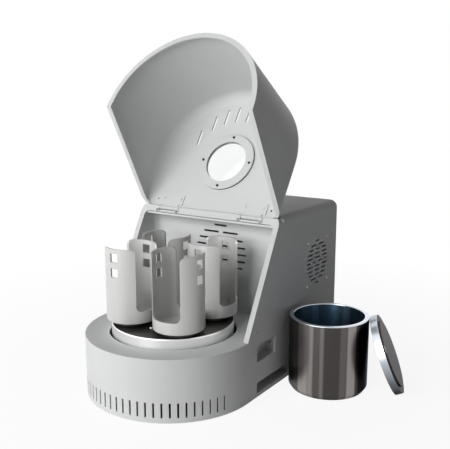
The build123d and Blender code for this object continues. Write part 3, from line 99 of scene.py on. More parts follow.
class BallMillColours(bpy.types.PropertyGroup):
    """Colours a user would change."""

    casing: bpy.props.FloatVectorProperty(
        name="Casing", description="Paint of the casing and the hood",
        default=(0.575, 0.58, 0.582), size=3, subtype="COLOR",
    )
    holder: bpy.props.FloatVectorProperty(
        name="Holders", description="Finish of the jar holders",
        default=(0.55, 0.55, 0.54), size=3, subtype="COLOR",
    )
    disc: bpy.props.FloatVectorProperty(
        name="Disc", description="Turned metal of the disc's top",
        default=(0.155, 0.153, 0.14), size=3, subtype="COLOR",
    )
    jar: bpy.props.FloatVectorProperty(
        name="Jar", description="Polished steel of the jar and its lid",
        default=(1.0, 0.93, 0.90), size=3, subtype="COLOR",
    )


# how CAD meshes and new meshes are cleaned and shaded
WELD = 0.002 * MM
FLAT_DEG = 0.2                 # facets turned less than this lie in one plane
SHARP_DEG = 28.0               # edges turned more than this stay sharp
BEVEL_SEGMENTS = 2
GRID_WELD = 0.001 * MM
GRID_SHARP_DEG = 40.0
HINGE_LEAF_REACH = 40 * MM     # from the hinge line to past the screws of the hood's leaves

# grinding jar
JAR_WALL = 8 * MM
JAR_FLOOR = 9 * MM
JAR_FOOT = ((-6 * MM, 0.0), (-5 * MM, 0.6 * MM), (0.0, 8 * MM))    # (step from the wall, height)
JAR_CORNER_R = 1.2 * MM
JAR_STEPS = 192
JAR_HOLLOW_DEPTH = 6 * MM      # inwards from the outer wall, where the hollow's painted shade starts
JAR_RIM_HIGHLIGHT_BAND = 0.9 * MM        # height of the painted highlight round the mouth
# dark level of the polished jar between its painted reflections, and how soft their edges are
JAR_REFLECTION_GROUND = 0.045
JAR_REFLECTION_BLUR = 3.0
# painted reflections on the jar: direction in degrees from +X, half width in degrees, brightness
JAR_PAINTED_REFLECTIONS = (
    (-127.0, 12.0, 0.08), (-104.0, 7.0, 0.26), (-91.0, 2.5, 0.19), (-81.0, 4.0, 0.03), (-74.0, 1.0, 0.10),
    (-44.0, 3.0, 0.05), (-31.0, 5.5, 0.21), (-3.0, 14.0, -0.045), (20.0, 1.5, 0.35), (44.0, 7.0, 0.12),
    (62.0, 3.0, 0.06), (84.0, 5.0, 0.19), (112.0, 10.0, 0.04), (139.0, 4.0, 0.15), (163.0, 2.0, 0.08),
)
# painted highlight on the flat rim of the mouth
JAR_RIM_HIGHLIGHT = (0.62, 0.66, 0.70)
# the jar's hollow: painted shade, with painted reflections over it
HOLLOW_PAINTED_SHADE = (0.15, 0.22, 0.27)
HOLLOW_PAINTED_REFLECTION = (0.50, 0.64, 0.74)
HOLLOW_REFLECTION_GAIN = 4.0              # how much stronger the painted reflections are in the hollow

# lid: painted shade on its faces and a painted highlight on its edge, both by the share of its height
LID_HIGHLIGHT_WIDTH = 1.5 * MM
LID_FACE_PAINTED_SHADE = [(0.0, 0.025), (0.25, 0.06), (0.6, 0.09), (1.0, 0.16)]
LID_EDGE_HIGHLIGHT_LEVELS = [(0.0, 0.04), (0.3, 0.15), (0.55, 0.5), (0.85, 0.9)]
LID_EDGE_HIGHLIGHT = (0.86, 0.92, 1.0)

DISC_EDGE_WIDTH = 1.25 * MM
# the disc's side: the same metal as the top, painted much lighter as a painted reflection
DISC_SIDE_REFLECTION = (0.95, 0.96, 0.95)
LINER_LIGHTNESS = 1.02         # against the casing's paint

# colour and roughness
STEELS = {
    "steel": ((0.55, 0.55, 0.56), 0.3),
    "dark_steel": ((0.05, 0.05, 0.055), 0.4),
    "screw_metal": ((0.22, 0.22, 0.22), 0.35),
    "bare_aluminium": ((0.72, 0.73, 0.74), 0.32),
}
# colour, roughness and height of the grain
MOULDINGS = {
    "iron": ((0.05, 0.055, 0.06), 0.5, 0.08 * MM),
    "belt_rubber": ((0.02, 0.02, 0.02), 0.7, 0.03 * MM),
    "foot_rubber": ((0.025, 0.025, 0.025), 0.75, 0.03 * MM),
    "black_plastic": ((0.02, 0.02, 0.022), 0.45, 0.03 * MM),
    "panel_film": ((0.10, 0.12, 0.15), 0.4, 0.03 * MM),
    "display": ((0.01, 0.015, 0.02), 0.2, 0.0),
}

# camera: from the target, degrees to the right of the front and above the bench
CAMERA_AZIMUTH = 33.485
CAMERA_ELEVATION = 11.146
CAMERA_DISTANCE = 1.1329
CAMERA_TARGET = (0.10738, 0.0, 0.3000)
CAMERA_LENS = 56.62
CAMERA_NEAR = 0.01

# lamps: direction in degrees from +X, degrees above the bench, power in watts
LAMPS = {
    "side_lamp": (-150.0, 14.0, 28.0),
    "front_lamp": (-99.0, 21.0, 112.0),
    "back_lamp": (99.0, 8.0, 18.0),
}
LAMP_TARGET = (0.05, 0.05, 0.25)
LAMP_DISTANCE = 3.4
LAMP_SIZE = 2.2
FILL_LEVEL = 0.055

# floor: share of plain white to the eye, by the distance from the object's middle
FLOOR_PAINT = (0.93, 0.93, 0.93, 1.0)
FLOOR_MIDDLE = (0.1, 0.1)
FLOOR_FADE_REACH = 2.0
FLOOR_FADE = [(0.12, 0.9), (0.5, 1.0)]
WHITE = (1.0, 1.0, 1.0, 1.0)


# ------------------------------------------------------------------ shader expressions


def lit(colour, amount):
    """Colour made lighter or darker by a factor, kept in range."""
    return tuple(min(1.0, channel * amount) for channel in colour)


class Value:
    """A number or colour in a material. Operators on it add Math nodes."""

    def __init__(self, paint, socket):
        self.paint = paint
        self.socket = socket

    def __add__(self, other):
        return self.paint.math("ADD", self, other)

    def __sub__(self, other):
        return self.paint.math("SUBTRACT", self, other)

    def __rsub__(self, other):
        return self.paint.math("SUBTRACT", other, self)

    def __mul__(self, other):
        return self.paint.math("MULTIPLY", self, other)

    def __truediv__(self, other):
        return self.paint.math("DIVIDE", self, other)

    def __rtruediv__(self, other):
        return self.paint.math("DIVIDE", other, self)

    __radd__ = __add__
    __rmul__ = __mul__

    def over(self, limit):
        """1 where the value is over the limit, else 0."""
        return self.paint.math("GREATER_THAN", self, limit)

    def under(self, limit):
        """1 where the value is under the limit, else 0."""
        return self.paint.math("LESS_THAN", self, limit)

    def capped(self):
        """The value held between 0 and 1."""
        return self.paint.node("ShaderNodeClamp", {}, {"Value": self})


class Paint:
    """The nodes of one procedural material, or of the world."""

    def __init__(self, name, owner=None):
        self.material = owner or bpy.data.materials.new(name)
        self.material.use_nodes = True
        self.tree = self.material.node_tree
        self.tree.nodes.clear()

    def node(self, kind, settings=None, inputs=None, output=0):
        """Add a node: its settings first, then the values or links of its sockets."""
        made = self.tree.nodes.new(kind)
        for setting, value in (settings or {}).items():
            if setting == "stops":
                ramp = made.color_ramp.elements
                while len(ramp) < len(value):
                    ramp.new(1.0)
                for stop, (place, level) in zip(ramp, value):
                    stop.position = place
                    stop.color = (level, level, level, 1.0)
            else:
                setattr(made, setting, value)
        for key, value in (inputs or {}).items():
            if isinstance(value, Value):
                self.tree.links.new(value.socket, made.inputs[key])
            else:
                made.inputs[key].default_value = value
        return Value(self, made.outputs[output]) if made.outputs else None

    def math(self, operation, *operands):
        """One Math node with the given operands."""
        return self.node("ShaderNodeMath", {"operation": operation}, dict(enumerate(operands)))

    def vector(self, operation, *operands):
        """One Vector Math node with the given operands."""
        return self.node("ShaderNodeVectorMath", {"operation": operation}, dict(enumerate(operands)))

    def length(self, vector):
        """Length of a vector."""
        return self.node("ShaderNodeVectorMath", {"operation": "LENGTH"}, {0: vector}, output="Value")

    def tint(self, colour, level):
        """Colour scaled by a value."""
        return self.node("ShaderNodeVectorMath", {"operation": "SCALE"}, {0: colour, "Scale": level})

    def place(self):
        """Object coordinates, in metres."""
        return self.node("ShaderNodeTexCoord", output="Object")

    def split(self):
        """X, Y and Z of the place, each a value."""
        parts = self.node("ShaderNodeSeparateXYZ", {}, {0: self.place()})
        return [Value(self, output) for output in parts.socket.node.outputs]

    def radius_about(self, spot):
        """Distance of the place from a vertical axis through spot."""
        shifted = self.vector("SUBTRACT", self.place(), (*spot, 0.0))
        return self.length(self.vector("MULTIPLY", shifted, (1.0, 1.0, 0.0)))

    def noise(self, cells, detail, stretch=(1.0, 1.0, 1.0)):
        """Noise of so many cells a metre, stretched along the axes."""
        vector = self.node("ShaderNodeMapping", {}, {"Vector": self.place(), "Scale": stretch})
        return self.node("ShaderNodeTexNoise", {}, {"Vector": vector, "Scale": cells, "Detail": detail})

    def line_noise(self, along, cells, detail):
        """Noise that changes along one value only, so many cells for each unit of it."""
        inputs = {"W": along * cells, "Scale": 1.0, "Detail": detail}
        return self.node("ShaderNodeTexNoise", {"noise_dimensions": "1D"}, inputs)

    def ramp(self, value, stops):
        """Value through a ramp of (place, level) stops."""
        return self.node("ShaderNodeValToRGB", {"stops": stops}, {0: value})

    def blend(self, low, high, share):
        """Colour from low to high by share. Either may be a colour or a value."""
        low, high = (end if isinstance(end, Value) else (*end, 1.0) for end in (low, high))
        return self.node("ShaderNodeMix", {"data_type": "RGBA"}, {0: share, 6: low, 7: high}, output=2)

    def shades(self, colour, darkest, lightest, share):
        """Colour from its darkest to its lightest shade, each a factor, by share."""
        return self.blend(lit(colour, darkest), lit(colour, lightest), share)

    def bump(self, pattern, height, strength):
        """Normal from a pattern of so many metres' height."""
        inputs = {"Height": pattern, "Distance": height, "Strength": strength}
        return self.node("ShaderNodeBump", {}, inputs)

    def finish(self, **sockets):
        """Close the material with the main shader and return it. Underscores stand for spaces."""
        inputs = {key.replace("_", " "): value for key, value in sockets.items()}
        shader = self.node("ShaderNodeBsdfPrincipled", {}, inputs)
        self.node("ShaderNodeOutputMaterial", {}, {"Surface": shader})
        return self.material


def mixed(first, second, share):
    """The first pattern by its share, and the second by the rest."""
    return first * share + second * (1.0 - share)


def varied(base, *patterns):
    """Base plus each pattern times its amount."""
    for pattern, amount in patterns:
        base = pattern * amount + base
    return base


# ------------------------------------------------------------------ finishes


def powder_coat(name, colour):
    """Smooth satin paint: faint clouds of colour and a fine orange-peel surface."""
    paint = Paint(name)
    clouds = paint.noise(cells=9.0, detail=3.0)
    peel = paint.noise(cells=1400.0, detail=2.0)
    grime = paint.noise(cells=40.0, detail=5.0)
    return paint.finish(
        Base_Color=paint.shades(colour, 0.965, 1.03, share=mixed(clouds, grime, 0.6)),
        Roughness=varied(0.44, (peel, 0.12), (grime, 0.06)),
        Specular_IOR_Level=0.06,
        Normal=paint.bump(peel, height=0.03 * MM, strength=0.6),
    )


def turned_metal(name, colour):
    """Metal off the lathe: fine rings about the disc's axis, and the side painted much lighter than the
    top, a painted reflection.
    """
    paint = Paint(name)
    radius = paint.radius_about((0.0, 0.0))
    rings = paint.line_noise(radius, cells=2600.0, detail=4.0)
    smears = paint.noise(cells=30.0, detail=3.0)
    share = mixed(rings, smears, 0.7)
    side_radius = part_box("sun_disc")[1].x - DISC_EDGE_WIDTH
    top = paint.shades(colour, 0.75, 1.25, share)
    # painted reflection: the side is a much lighter copy of the top's metal
    side = paint.shades(DISC_SIDE_REFLECTION, 0.92, 1.05, share)
    return paint.finish(
        Base_Color=paint.blend(top, side, radius.over(side_radius)),
        Metallic=1.0,
        Roughness=varied(0.24, (rings, 0.16), (smears, 0.08)),
        Normal=paint.bump(rings, height=0.02 * MM, strength=0.8),
    )


def ground_steel(name, colour, roughness):
    """Ground or drawn metal with a grain that runs up and down."""
    paint = Paint(name)
    grain = paint.noise(cells=900.0, detail=3.0, stretch=(1.0, 1.0, 0.05))
    smears = paint.noise(cells=25.0, detail=3.0)
    return paint.finish(
        Base_Color=paint.shades(colour, 0.86, 1.1, share=mixed(grain, smears, 0.6)),
        Metallic=1.0,
        Roughness=varied(roughness - 0.1, (grain, 0.14), (smears, 0.06)),
        Normal=paint.bump(grain, height=0.01 * MM, strength=0.6),
    )


def jar_round():
    """Axis, outer radius and height of the jar."""
    low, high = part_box("grinding_jar")
    return ((low.x + high.x) / 2, (low.y + high.y) / 2), (high.x - low.x) / 2, high.z


def polished_jar(name, colour):
    """Polished steel turned about the jar's axis, with painted reflections: tall soft stripes, a hollow
    in painted shade and a painted highlight on the rim.

    The painted reflections are a sum of smooth bumps of the angle round the axis, each with its own
    direction, width and level, on a dark ground. The hollow is where the radius is well inside the wall.
    """
    paint = Paint(name)
    spot, outer, height = jar_round()
    x, y, z = paint.split()
    angle = paint.math("ARCTAN2", y - spot[1], x - spot[0])
    grain = paint.line_noise(angle, cells=60.0, detail=4.0)
    painted_reflections = varied(JAR_REFLECTION_GROUND, (grain, 0.03))
    # painted reflections: a soft stripe of brightness round the axis for each listed direction
    for direction, width, level in JAR_PAINTED_REFLECTIONS:
        away = paint.math("ABSOLUTE", angle - radians(direction))
        away = paint.math("MINIMUM", away, 2 * pi - away)
        edge = (away - radians(width)) * (1.0 / radians(JAR_REFLECTION_BLUR))
        painted_reflections = painted_reflections + (1.0 - edge.capped()) * level
    hollow = paint.radius_about(spot).under(outer - JAR_HOLLOW_DEPTH)
    # outer wall: the jar's tint scaled by the painted reflections
    outside = paint.tint(colour, painted_reflections.capped())
    # painted shade in the hollow, with the painted reflections made stronger and bluer
    inside = paint.blend(HOLLOW_PAINTED_SHADE, HOLLOW_PAINTED_REFLECTION, (painted_reflections * HOLLOW_REFLECTION_GAIN).capped())
    walls = paint.blend(outside, inside, hollow)
    return paint.finish(
        # painted highlight on the rim
        Base_Color=paint.blend(walls, JAR_RIM_HIGHLIGHT, z.over(height - JAR_RIM_HIGHLIGHT_BAND)),
        Metallic=1.0,
        Roughness=varied(0.28, (hollow, -0.12), (grain, 0.06)),
        Specular_Tint=(0.45, 0.45, 0.47, 1.0),
        Normal=paint.bump(grain, height=0.004 * MM, strength=0.4),
    )


def lid_round():
    """Centre, facing, radius and top height of the leaning lid, from its corners.

    The facing is the direction in which the corners spread least.
    """
    corners = np.array([corner.co for corner in NODES["jar_lid"].data.vertices])
    centre = corners.mean(0)
    facing = np.linalg.svd(corners - centre, full_matrices=False)[2][2]
    radius = np.linalg.norm(np.cross(corners - centre, facing), axis=1).max()
    return centre.tolist(), facing.tolist(), float(radius), float(corners[:, 2].max())


def polished_lid(name, colour):
    """Polished steel of the lid: a painted highlight on its edge, and painted shade that darkens its
    faces towards the floor.
    """
    paint = Paint(name)
    centre, facing, radius, height = lid_round()
    share_of_height = paint.split()[2] / height
    reach = paint.vector("SUBTRACT", paint.place(), centre)
    away = paint.length(paint.vector("CROSS_PRODUCT", reach, facing))
    rings = paint.line_noise(away, cells=2200.0, detail=4.0)
    # painted shade: the faces darker towards the floor
    level = paint.ramp(share_of_height, LID_FACE_PAINTED_SHADE)
    face = paint.tint(colour, level * varied(0.75, (rings, 0.5)))
    # painted highlight round the edge, stronger higher up
    edge_highlight = paint.tint(LID_EDGE_HIGHLIGHT, paint.ramp(share_of_height, LID_EDGE_HIGHLIGHT_LEVELS))
    return paint.finish(
        Base_Color=paint.blend(face, edge_highlight, away.over(radius - LID_HIGHLIGHT_WIDTH)),
        Metallic=1.0,
        Roughness=varied(0.2, (rings, 0.1)),
        Specular_Tint=(0.35, 0.35, 0.37, 1.0),
        Normal=paint.bump(rings, height=0.006 * MM, strength=0.5),
    )


def satin_metal(name, colour):
    """Blasted and clear-coated light metal of the jar holders."""
    paint = Paint(name)
    grain = paint.noise(cells=1800.0, detail=2.0)
    streaks = paint.noise(cells=260.0, detail=3.0, stretch=(1.0, 1.0, 0.06))
    return paint.finish(
        Base_Color=paint.shades(colour, 0.93, 1.05, share=mixed(streaks, grain, 0.7)),
        Metallic=0.25,
        Roughness=varied(0.3, (grain, 0.12), (streaks, 0.08)),
        Normal=paint.bump(grain, height=0.02 * MM, strength=0.5),
    )


def moulded(name, colour, roughness, grain_height):
    """Moulded plastic or rubber, or cast metal, with a fine grain and faint dust."""
    paint = Paint(name)
    grain = paint.noise(cells=2600.0, detail=2.0)
    dust = paint.noise(cells=60.0, detail=4.0)
    return paint.finish(
        Base_Color=paint.shades(colour, 0.85, 1.25, share=dust),
        Roughness=varied(roughness - 0.12, (grain, 0.15), (dust, 0.1)),
        Normal=paint.bump(grain, height=grain_height, strength=0.7),
    )


def clear_pane(name):
    """Clear acrylic pane with the faintest smears."""
    paint = Paint(name)
    smears = paint.noise(cells=35.0, detail=4.0)
    return paint.finish(
        Base_Color=(0.985, 1.0, 0.995, 1.0),
        Roughness=varied(0.02, (smears, 0.05)),
        IOR=1.49,
        Transmission_Weight=1.0,
        Normal=paint.bump(smears, height=0.01 * MM, strength=0.2),
    )


FINISHES = {}


def make_finishes(colours):
    """All materials of the mill, by the record's slot names."""
    casing = tuple(colours.casing)
    made = {
        "casing_paint": powder_coat("casing_paint", casing),
        "hood_paint": powder_coat("hood_paint", casing),
        "liner_paint": powder_coat("liner_paint", lit(casing, LINER_LIGHTNESS)),
        "holder_metal": satin_metal("holder_metal", tuple(colours.holder)),
        "disc_metal": turned_metal("disc_metal", tuple(colours.disc)),
        "polished_steel": polished_jar("polished_steel", tuple(colours.jar)),
        "window_clear": clear_pane("window_clear"),
    }
    made.update({slot: ground_steel(slot, *look) for slot, look in STEELS.items()})
    made.update({slot: moulded(slot, *look) for slot, look in MOULDINGS.items()})
    return made


# ------------------------------------------------------------------ meshes


def placed(name, data):
    """New object of a mesh, lamp or camera, in the scene."""
    made = bpy.data.objects.new(name, data)
    bpy.context.scene.collection.objects.link(made)
    return made


def give(piece, node, slot=None):
    """Let a piece stand for a CAD node: its body, its slot and its finish."""
    slot = slot or SLOT_OF[node]
    piece.data.materials.clear()
    piece.data.materials.append(FINISHES[slot])
    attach(piece, BODY_OF[node])
    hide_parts(node)
    return piece


def shade_round(shape, sharp_deg):
    """Shade every face smooth, and keep edges sharp that turn by more than sharp_deg or are open."""
    for face in shape.faces:
        face.smooth = True
    for seam in shape.edges:
        seam.smooth = not (seam.is_manifold and seam.calc_face_angle() > radians(sharp_deg))


def softened(name, node, edge, wanted=None, slot=None):
    """The form of a CAD node with its flat facets joined, curves shaded round and edges broken.

    Where wanted is given, it tests each corner, and only solids whose corners pass are kept.
    """
    mesh = NODES[node].data.copy()
    mesh.name = name
    shape = bmesh.new()
    shape.from_mesh(mesh)
    if wanted:
        spare = [corner for corner in shape.verts if not wanted(corner.co)]
        bmesh.ops.delete(shape, geom=spare, context="VERTS")
    bmesh.ops.remove_doubles(shape, verts=shape.verts, dist=WELD)
    bmesh.ops.dissolve_limit(
        shape, angle_limit=radians(FLAT_DEG), verts=shape.verts, edges=shape.edges, delimit={"NORMAL"}
    )
    shade_round(shape, SHARP_DEG)
    shape.to_mesh(mesh)
    shape.free()
    piece = placed(name, mesh)
    if edge > 0:
        bevel = piece.modifiers.new("broken_edges", "BEVEL")
        bevel.width = edge
        bevel.segments = BEVEL_SEGMENTS
        bevel.limit_method = "ANGLE"
        bevel.angle_limit = radians(SHARP_DEG)
        bevel.harden_normals = True
        bevel.use_clamp_overlap = True
    return give(piece, node, slot)


def soften_all(node_of, edge):
    """Make each named piece from its CAD node, all with the same broken edge."""
    for name, node in node_of.items():
        softened(name, node, edge)


def grid_piece(name, points):
    """Mesh of a grid of points, shape (u, v, 3), that closes round along u."""
    rows, columns = points.shape[:2]
    u, v = np.meshgrid(np.arange(rows), np.arange(columns - 1), indexing="ij")
    u, v = u.ravel(), v.ravel()
    right = (u + 1) % rows
    faces = np.stack(
        [u * columns + v, right * columns + v, right * columns + v + 1, u * columns + v + 1], 1
    )
    mesh = bpy.data.meshes.new(name)
    mesh.from_pydata(points.reshape(-1, 3).tolist(), [], faces.tolist())
    shape = bmesh.new()
    shape.from_mesh(mesh)
    bmesh.ops.remove_doubles(shape, verts=shape.verts, dist=GRID_WELD)
    bmesh.ops.recalc_face_normals(shape, faces=shape.faces)
    shade_round(shape, GRID_SHARP_DEG)
    shape.to_mesh(mesh)
    shape.free()
    return placed(name, mesh)


def rounded(corners, radius, steps=6, most=0.49):
    """Profile through corners, with each inner corner replaced by an arc.

    An arc is the quadratic blend of the corner and the two places on its legs that lie radius from
    it, or at most the given share of the leg.
    """
    corners = np.array(corners, float)
    path = [corners[:1]]
    t = np.linspace(0, 1, steps)[:, None]
    for before, corner, after in zip(corners[:-2], corners[1:-1], corners[2:]):
        legs = before - corner, after - corner
        reach = min(radius, *(most * np.linalg.norm(leg) for leg in legs))
        start, end = (corner + reach * leg / np.linalg.norm(leg) for leg in legs)
        path.append((1 - t) ** 2 * start + 2 * t * (1 - t) * corner + t**2 * end)
    path.append(corners[-1:])
    return np.concatenate(path)


def lathe(name, profile, spot, steps):
    """Surface of revolution: profile (radius, height) turned about the vertical axis through spot.

    Each point is (radius cos turn, radius sin turn, height), moved by spot.
    """
    turn = np.linspace(0, 2 * pi, steps, endpoint=False)[:, None]
    radius, height = profile[:, 0], profile[:, 1]
    heights = np.broadcast_to(height, (steps, len(height)))
    points = np.stack([radius * np.cos(turn), radius * np.sin(turn), heights], -1)
    return grid_piece(name, points + np.array([*spot, 0.0]))


# ------------------------------------------------------------------ operators


class BALLMILL_OT_finishes(bpy.types.Operator):
    """Make every material and put it on every CAD node"""

    bl_idname = "ball_mill.finishes"
    bl_label = "Finishes"

    def execute(self, context):
        FINISHES.update(make_finishes(context.scene.ball_mill_colours))
        for node, made in NODES.items():
            made.data.materials.clear()
            made.data.materials.append(FINISHES[SLOT_OF[node]])
        return {"FINISHED"}


class BALLMILL_OT_casing(bpy.types.Operator):
    """Drum base, rear casing and chamber, with broken sheet edges"""

    bl_idname = "ball_mill.casing"
    bl_label = "Casing"

    def execute(self, context):
        node_of = {
            "drum_base": "lower_casing",
            "motor_casing": "upper_casing",
            "chamber_walls": "chamber_liner",
            "louvred_panel": "rear_panel",
        }
        soften_all(node_of, context.scene.ball_mill_sizes.sheet_edge)
        return {"FINISHED"}


def far_from_hinge(spot):
    """Whether a place on the hood is past the hinge leaves, seen along the hinge."""
    low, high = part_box("hinge_pins")
    axis = (low + high) / 2
    return Vector((0.0, spot.y - axis.y, spot.z - axis.z)).length > HINGE_LEAF_REACH


class BALLMILL_OT_hood(bpy.types.Operator):
    """Hood with its window, its rings and its hinges"""

    bl_idname = "ball_mill.hood"
    bl_label = "Hood"

    def execute(self, context):
        sizes = context.scene.ball_mill_sizes
        softened("hood", "hood_shell", sizes.sheet_edge)
        softened("window_clamp_ring", "window_ring", sizes.machined_edge)
        node_of = {
            "hood_leaves": "hinge_hood_leaves",
            "casing_leaves": "hinge_base_leaves",
            "hinge_rods": "hinge_pins",
            "clear_window": "hood_window",
            "window_seal": "window_gasket",
        }
        soften_all(node_of, sizes.screw_edge)
        softened("window_screws", "hood_screws", sizes.screw_edge, wanted=far_from_hinge)
        softened(
            "hood_leaf_screws", "hood_screws", sizes.screw_edge,
            wanted=lambda spot: not far_from_hinge(spot), slot="hood_paint",
        )
        return {"FINISHED"}


class BALLMILL_OT_disc(bpy.types.Operator):
    """Turning disc with its cap"""

    bl_idname = "ball_mill.disc"
    bl_label = "Disc"

    def execute(self, context):
        node_of = {"turning_disc": "sun_disc", "disc_cap": "shaft_cap"}
        soften_all(node_of, context.scene.ball_mill_sizes.machined_edge)
        return {"FINISHED"}


class BALLMILL_OT_holders(bpy.types.Operator):
    """The slotted jar holders, their clamping screws and their spindles"""

    bl_idname = "ball_mill.holders"
    bl_label = "Jar holders"

    def execute(self, context):
        sizes = context.scene.ball_mill_sizes
        for number in range(1, 5):
            softened(f"slotted_holder_{number}", f"jar_holder_{number}", sizes.sheet_edge)
            softened(f"holder_bolt_{number}", f"holder_screw_{number}", sizes.screw_edge)
            softened(f"spindle_flange_{number}", f"spindle_{number}", sizes.machined_edge)
        return {"FINISHED"}


class BALLMILL_OT_hardware(bpy.types.Operator):
    """Small screws, switch, inlet, control panel and feet"""

    bl_idname = "ball_mill.hardware"
    bl_label = "Hardware"

    def execute(self, context):
        node_of = {
            "panel_screws": "casing_screws",
            "leaf_screws": "hinge_base_screws",
            "disc_bolts": "disc_screws",
            "inlet_socket": "mains_inlet",
            "switch_surround": "switch_frame",
            "switch_rocker": "power_rocker",
            "membrane_panel": "control_panel",
            "display_glass": "control_window",
            "rubber_feet": "feet",
        }
        soften_all(node_of, context.scene.ball_mill_sizes.screw_edge)
        return {"FINISHED"}


class BALLMILL_OT_drive(bpy.types.Operator):
    """Motor, belt, shafts, gears, bearings and fan inside the casing"""

    bl_idname = "ball_mill.drive"
    bl_label = "Drive"

    def execute(self, context):
        node_of = {
            "floor_plate": "base_plate",
            "drive_plate": "mounting_plate",
            "drive_posts": "mounting_posts",
            "sun_housing": "bearing_housing",
            "shaft_bearings": "main_bearings",
            "fixed_sun_wheel": "sun_gear",
            "sun_wheel_screws": "sun_gear_screws",
            "finned_motor": "motor",
            "housing_bolts": "drive_bolts",
            "belt": "drive_belt",
            "motor_shaft_and_pulley": "motor_rotor",
            "disc_hub": "carrier_hub",
            "disc_shaft": "main_shaft",
            "large_pulley": "driven_pulley",
            "planet_bearings": "spindle_bearings",
            "fan_housing": "fan_frame",
            "fan_wheel": "fan_rotor",
        }
        node_of.update({f"planet_wheel_{number}": f"planet_gear_{number}" for number in range(1, 5)})
        soften_all(node_of, context.scene.ball_mill_sizes.machined_edge)
        return {"FINISHED"}


class BALLMILL_OT_jar(bpy.types.Operator):
    """Grinding jar, turned from one polished billet"""

    bl_idname = "ball_mill.jar"
    bl_label = "Jar"

    def execute(self, context):
        spot, outer, height = jar_round()
        inner = outer - JAR_WALL
        foot = [(outer + step, rise) for step, rise in JAR_FOOT]
        mouth = [(outer, height), (inner, height), (inner, JAR_FLOOR)]
        profile = rounded([(0, 0), *foot, *mouth, (0, JAR_FLOOR)], JAR_CORNER_R)
        give(lathe("steel_jar", profile, spot, JAR_STEPS), "grinding_jar")
        return {"FINISHED"}


class BALLMILL_OT_jar_lid(bpy.types.Operator):
    """Jar lid that leans against the jar"""

    bl_idname = "ball_mill.jar_lid"
    bl_label = "Jar lid"

    def execute(self, context):
        lid = softened("steel_lid", "jar_lid", context.scene.ball_mill_sizes.machined_edge)
        colour = tuple(context.scene.ball_mill_colours.jar)
        lid.data.materials[0] = polished_lid("polished_lid", colour)
        return {"FINISHED"}


class BALLMILL_OT_stage(bpy.types.Operator):
    """Pale floor, white surroundings, soft lamps and the camera"""

    bl_idname = "ball_mill.stage"
    bl_label = "Stage"

    def execute(self, context):
        white_floor(context.scene.ball_mill_sizes.floor_size)
        white_world(context.scene)
        for name, (azimuth, elevation, power) in LAMPS.items():
            lamp(name, azimuth, elevation, power)
        context.scene.camera = photo_camera()
        return {"FINISHED"}


# ------------------------------------------------------------------ stage


def outward(azimuth, elevation):
    """Unit vector in a direction given in degrees from +X and above the bench."""
    azimuth, elevation = radians(azimuth), radians(elevation)
    return Vector((cos(azimuth) * cos(elevation), sin(azimuth) * cos(elevation), sin(elevation)))


def aim(thing, target):
    """Turn an object so that its -Z points at target."""
    thing.rotation_mode = "QUATERNION"
    thing.rotation_quaternion = (Vector(target) - thing.location).to_track_quat("-Z", "Y")


def photo_camera():
    """Camera at the photograph's viewing angle."""
    camera = placed("photo_camera", bpy.data.cameras.new("photo_camera"))
    toward = outward(CAMERA_AZIMUTH - 90.0, CAMERA_ELEVATION)
    camera.location = Vector(CAMERA_TARGET) + CAMERA_DISTANCE * toward
    aim(camera, CAMERA_TARGET)
    camera.data.lens = CAMERA_LENS
    camera.data.clip_start = CAMERA_NEAR
    return camera


def lamp(name, azimuth, elevation, power):
    """Large square lamp that faces the object from a direction in degrees."""
    light = placed(name, bpy.data.lights.new(name, "AREA"))
    light.data.size = LAMP_SIZE
    light.data.energy = power
    light.location = Vector(LAMP_TARGET) + LAMP_DISTANCE * outward(azimuth, elevation)
    aim(light, LAMP_TARGET)


def seen_or_mirrored(paint):
    """1 for camera, glossy and transmission rays, 0 for the rest."""
    rays = ("Is Camera Ray", "Is Glossy Ray", "Is Transmission Ray")
    seen, mirrored, passed = (paint.node("ShaderNodeLightPath", output=ray) for ray in rays)
    return (seen + mirrored + passed).capped()


def white_floor(size):
    """Flat square floor that fades to plain white away from the object."""
    half = size / 2
    corners = [(-half, -half, 0), (half, -half, 0), (half, half, 0), (-half, half, 0)]
    mesh = bpy.data.meshes.new("floor")
    mesh.from_pydata(corners, [], [(0, 1, 2, 3)])
    paint = Paint("floor_white")
    matt = paint.node("ShaderNodeBsdfDiffuse", {}, {"Color": FLOOR_PAINT})
    glow = paint.node("ShaderNodeEmission", {}, {"Color": WHITE, "Strength": 1.0})
    away = paint.ramp(paint.radius_about(FLOOR_MIDDLE) / FLOOR_FADE_REACH, FLOOR_FADE)
    share = seen_or_mirrored(paint) * away
    surface = paint.node("ShaderNodeMixShader", {}, {0: share, 1: matt, 2: glow})
    paint.node("ShaderNodeOutputMaterial", {}, {"Surface": surface})
    mesh.materials.append(paint.material)
    return placed("floor", mesh)


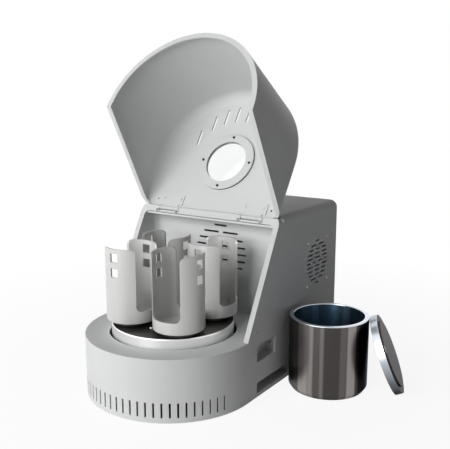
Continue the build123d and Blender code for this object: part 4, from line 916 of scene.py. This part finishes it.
def white_world(scene):
    """White surroundings to the eye, in mirrors and through glass; a dim even fill on the object."""
    world = bpy.data.worlds.new("white_surroundings")
    paint = Paint("white_surroundings", world)
    strength = varied(FILL_LEVEL, (seen_or_mirrored(paint), 1.0 - FILL_LEVEL))
    light = paint.node("ShaderNodeBackground", {}, {"Color": WHITE, "Strength": strength})
    paint.node("ShaderNodeOutputWorld", {}, {"Surface": light})
    scene.world = world


# ------------------------------------------------------------------ add-on


class BALLMILL_PT_pieces(bpy.types.Panel):
    """Sidebar list of the mill's pieces"""

    bl_idname = "BALLMILL_PT_pieces"
    bl_label = "Ball mill"
    bl_space_type = "VIEW_3D"
    bl_region_type = "UI"
    bl_category = "Ball mill"

    def draw(self, context):
        for group in (context.scene.ball_mill_sizes, context.scene.ball_mill_colours):
            for name in type(group).__annotations__:
                self.layout.prop(group, name)
        for operator in PIECE_OPERATORS:
            self.layout.operator(operator.bl_idname)


PIECE_OPERATORS = (
    BALLMILL_OT_finishes,
    BALLMILL_OT_casing,
    BALLMILL_OT_hood,
    BALLMILL_OT_disc,
    BALLMILL_OT_holders,
    BALLMILL_OT_hardware,
    BALLMILL_OT_drive,
    BALLMILL_OT_jar,
    BALLMILL_OT_jar_lid,
    BALLMILL_OT_stage,
)
CLASSES = (BallMillSizes, BallMillColours, *PIECE_OPERATORS, BALLMILL_PT_pieces)


def register():
    """Register every class and hang the settings on the scene."""
    for each in CLASSES:
        bpy.utils.register_class(each)
    bpy.types.Scene.ball_mill_sizes = bpy.props.PointerProperty(type=BallMillSizes)
    bpy.types.Scene.ball_mill_colours = bpy.props.PointerProperty(type=BallMillColours)


def unregister():
    """Take the settings and the classes away again."""
    del bpy.types.Scene.ball_mill_sizes
    del bpy.types.Scene.ball_mill_colours
    for each in reversed(CLASSES):
        bpy.utils.unregister_class(each)


def main():
    """Make the mill and its stage."""
    register()
    bpy.context.scene.view_settings.view_transform = "Standard"
    for operator in PIECE_OPERATORS:
        group, name = operator.bl_idname.split(".")
        getattr(getattr(bpy.ops, group), name)()


if __name__ == "__main__":
    main()
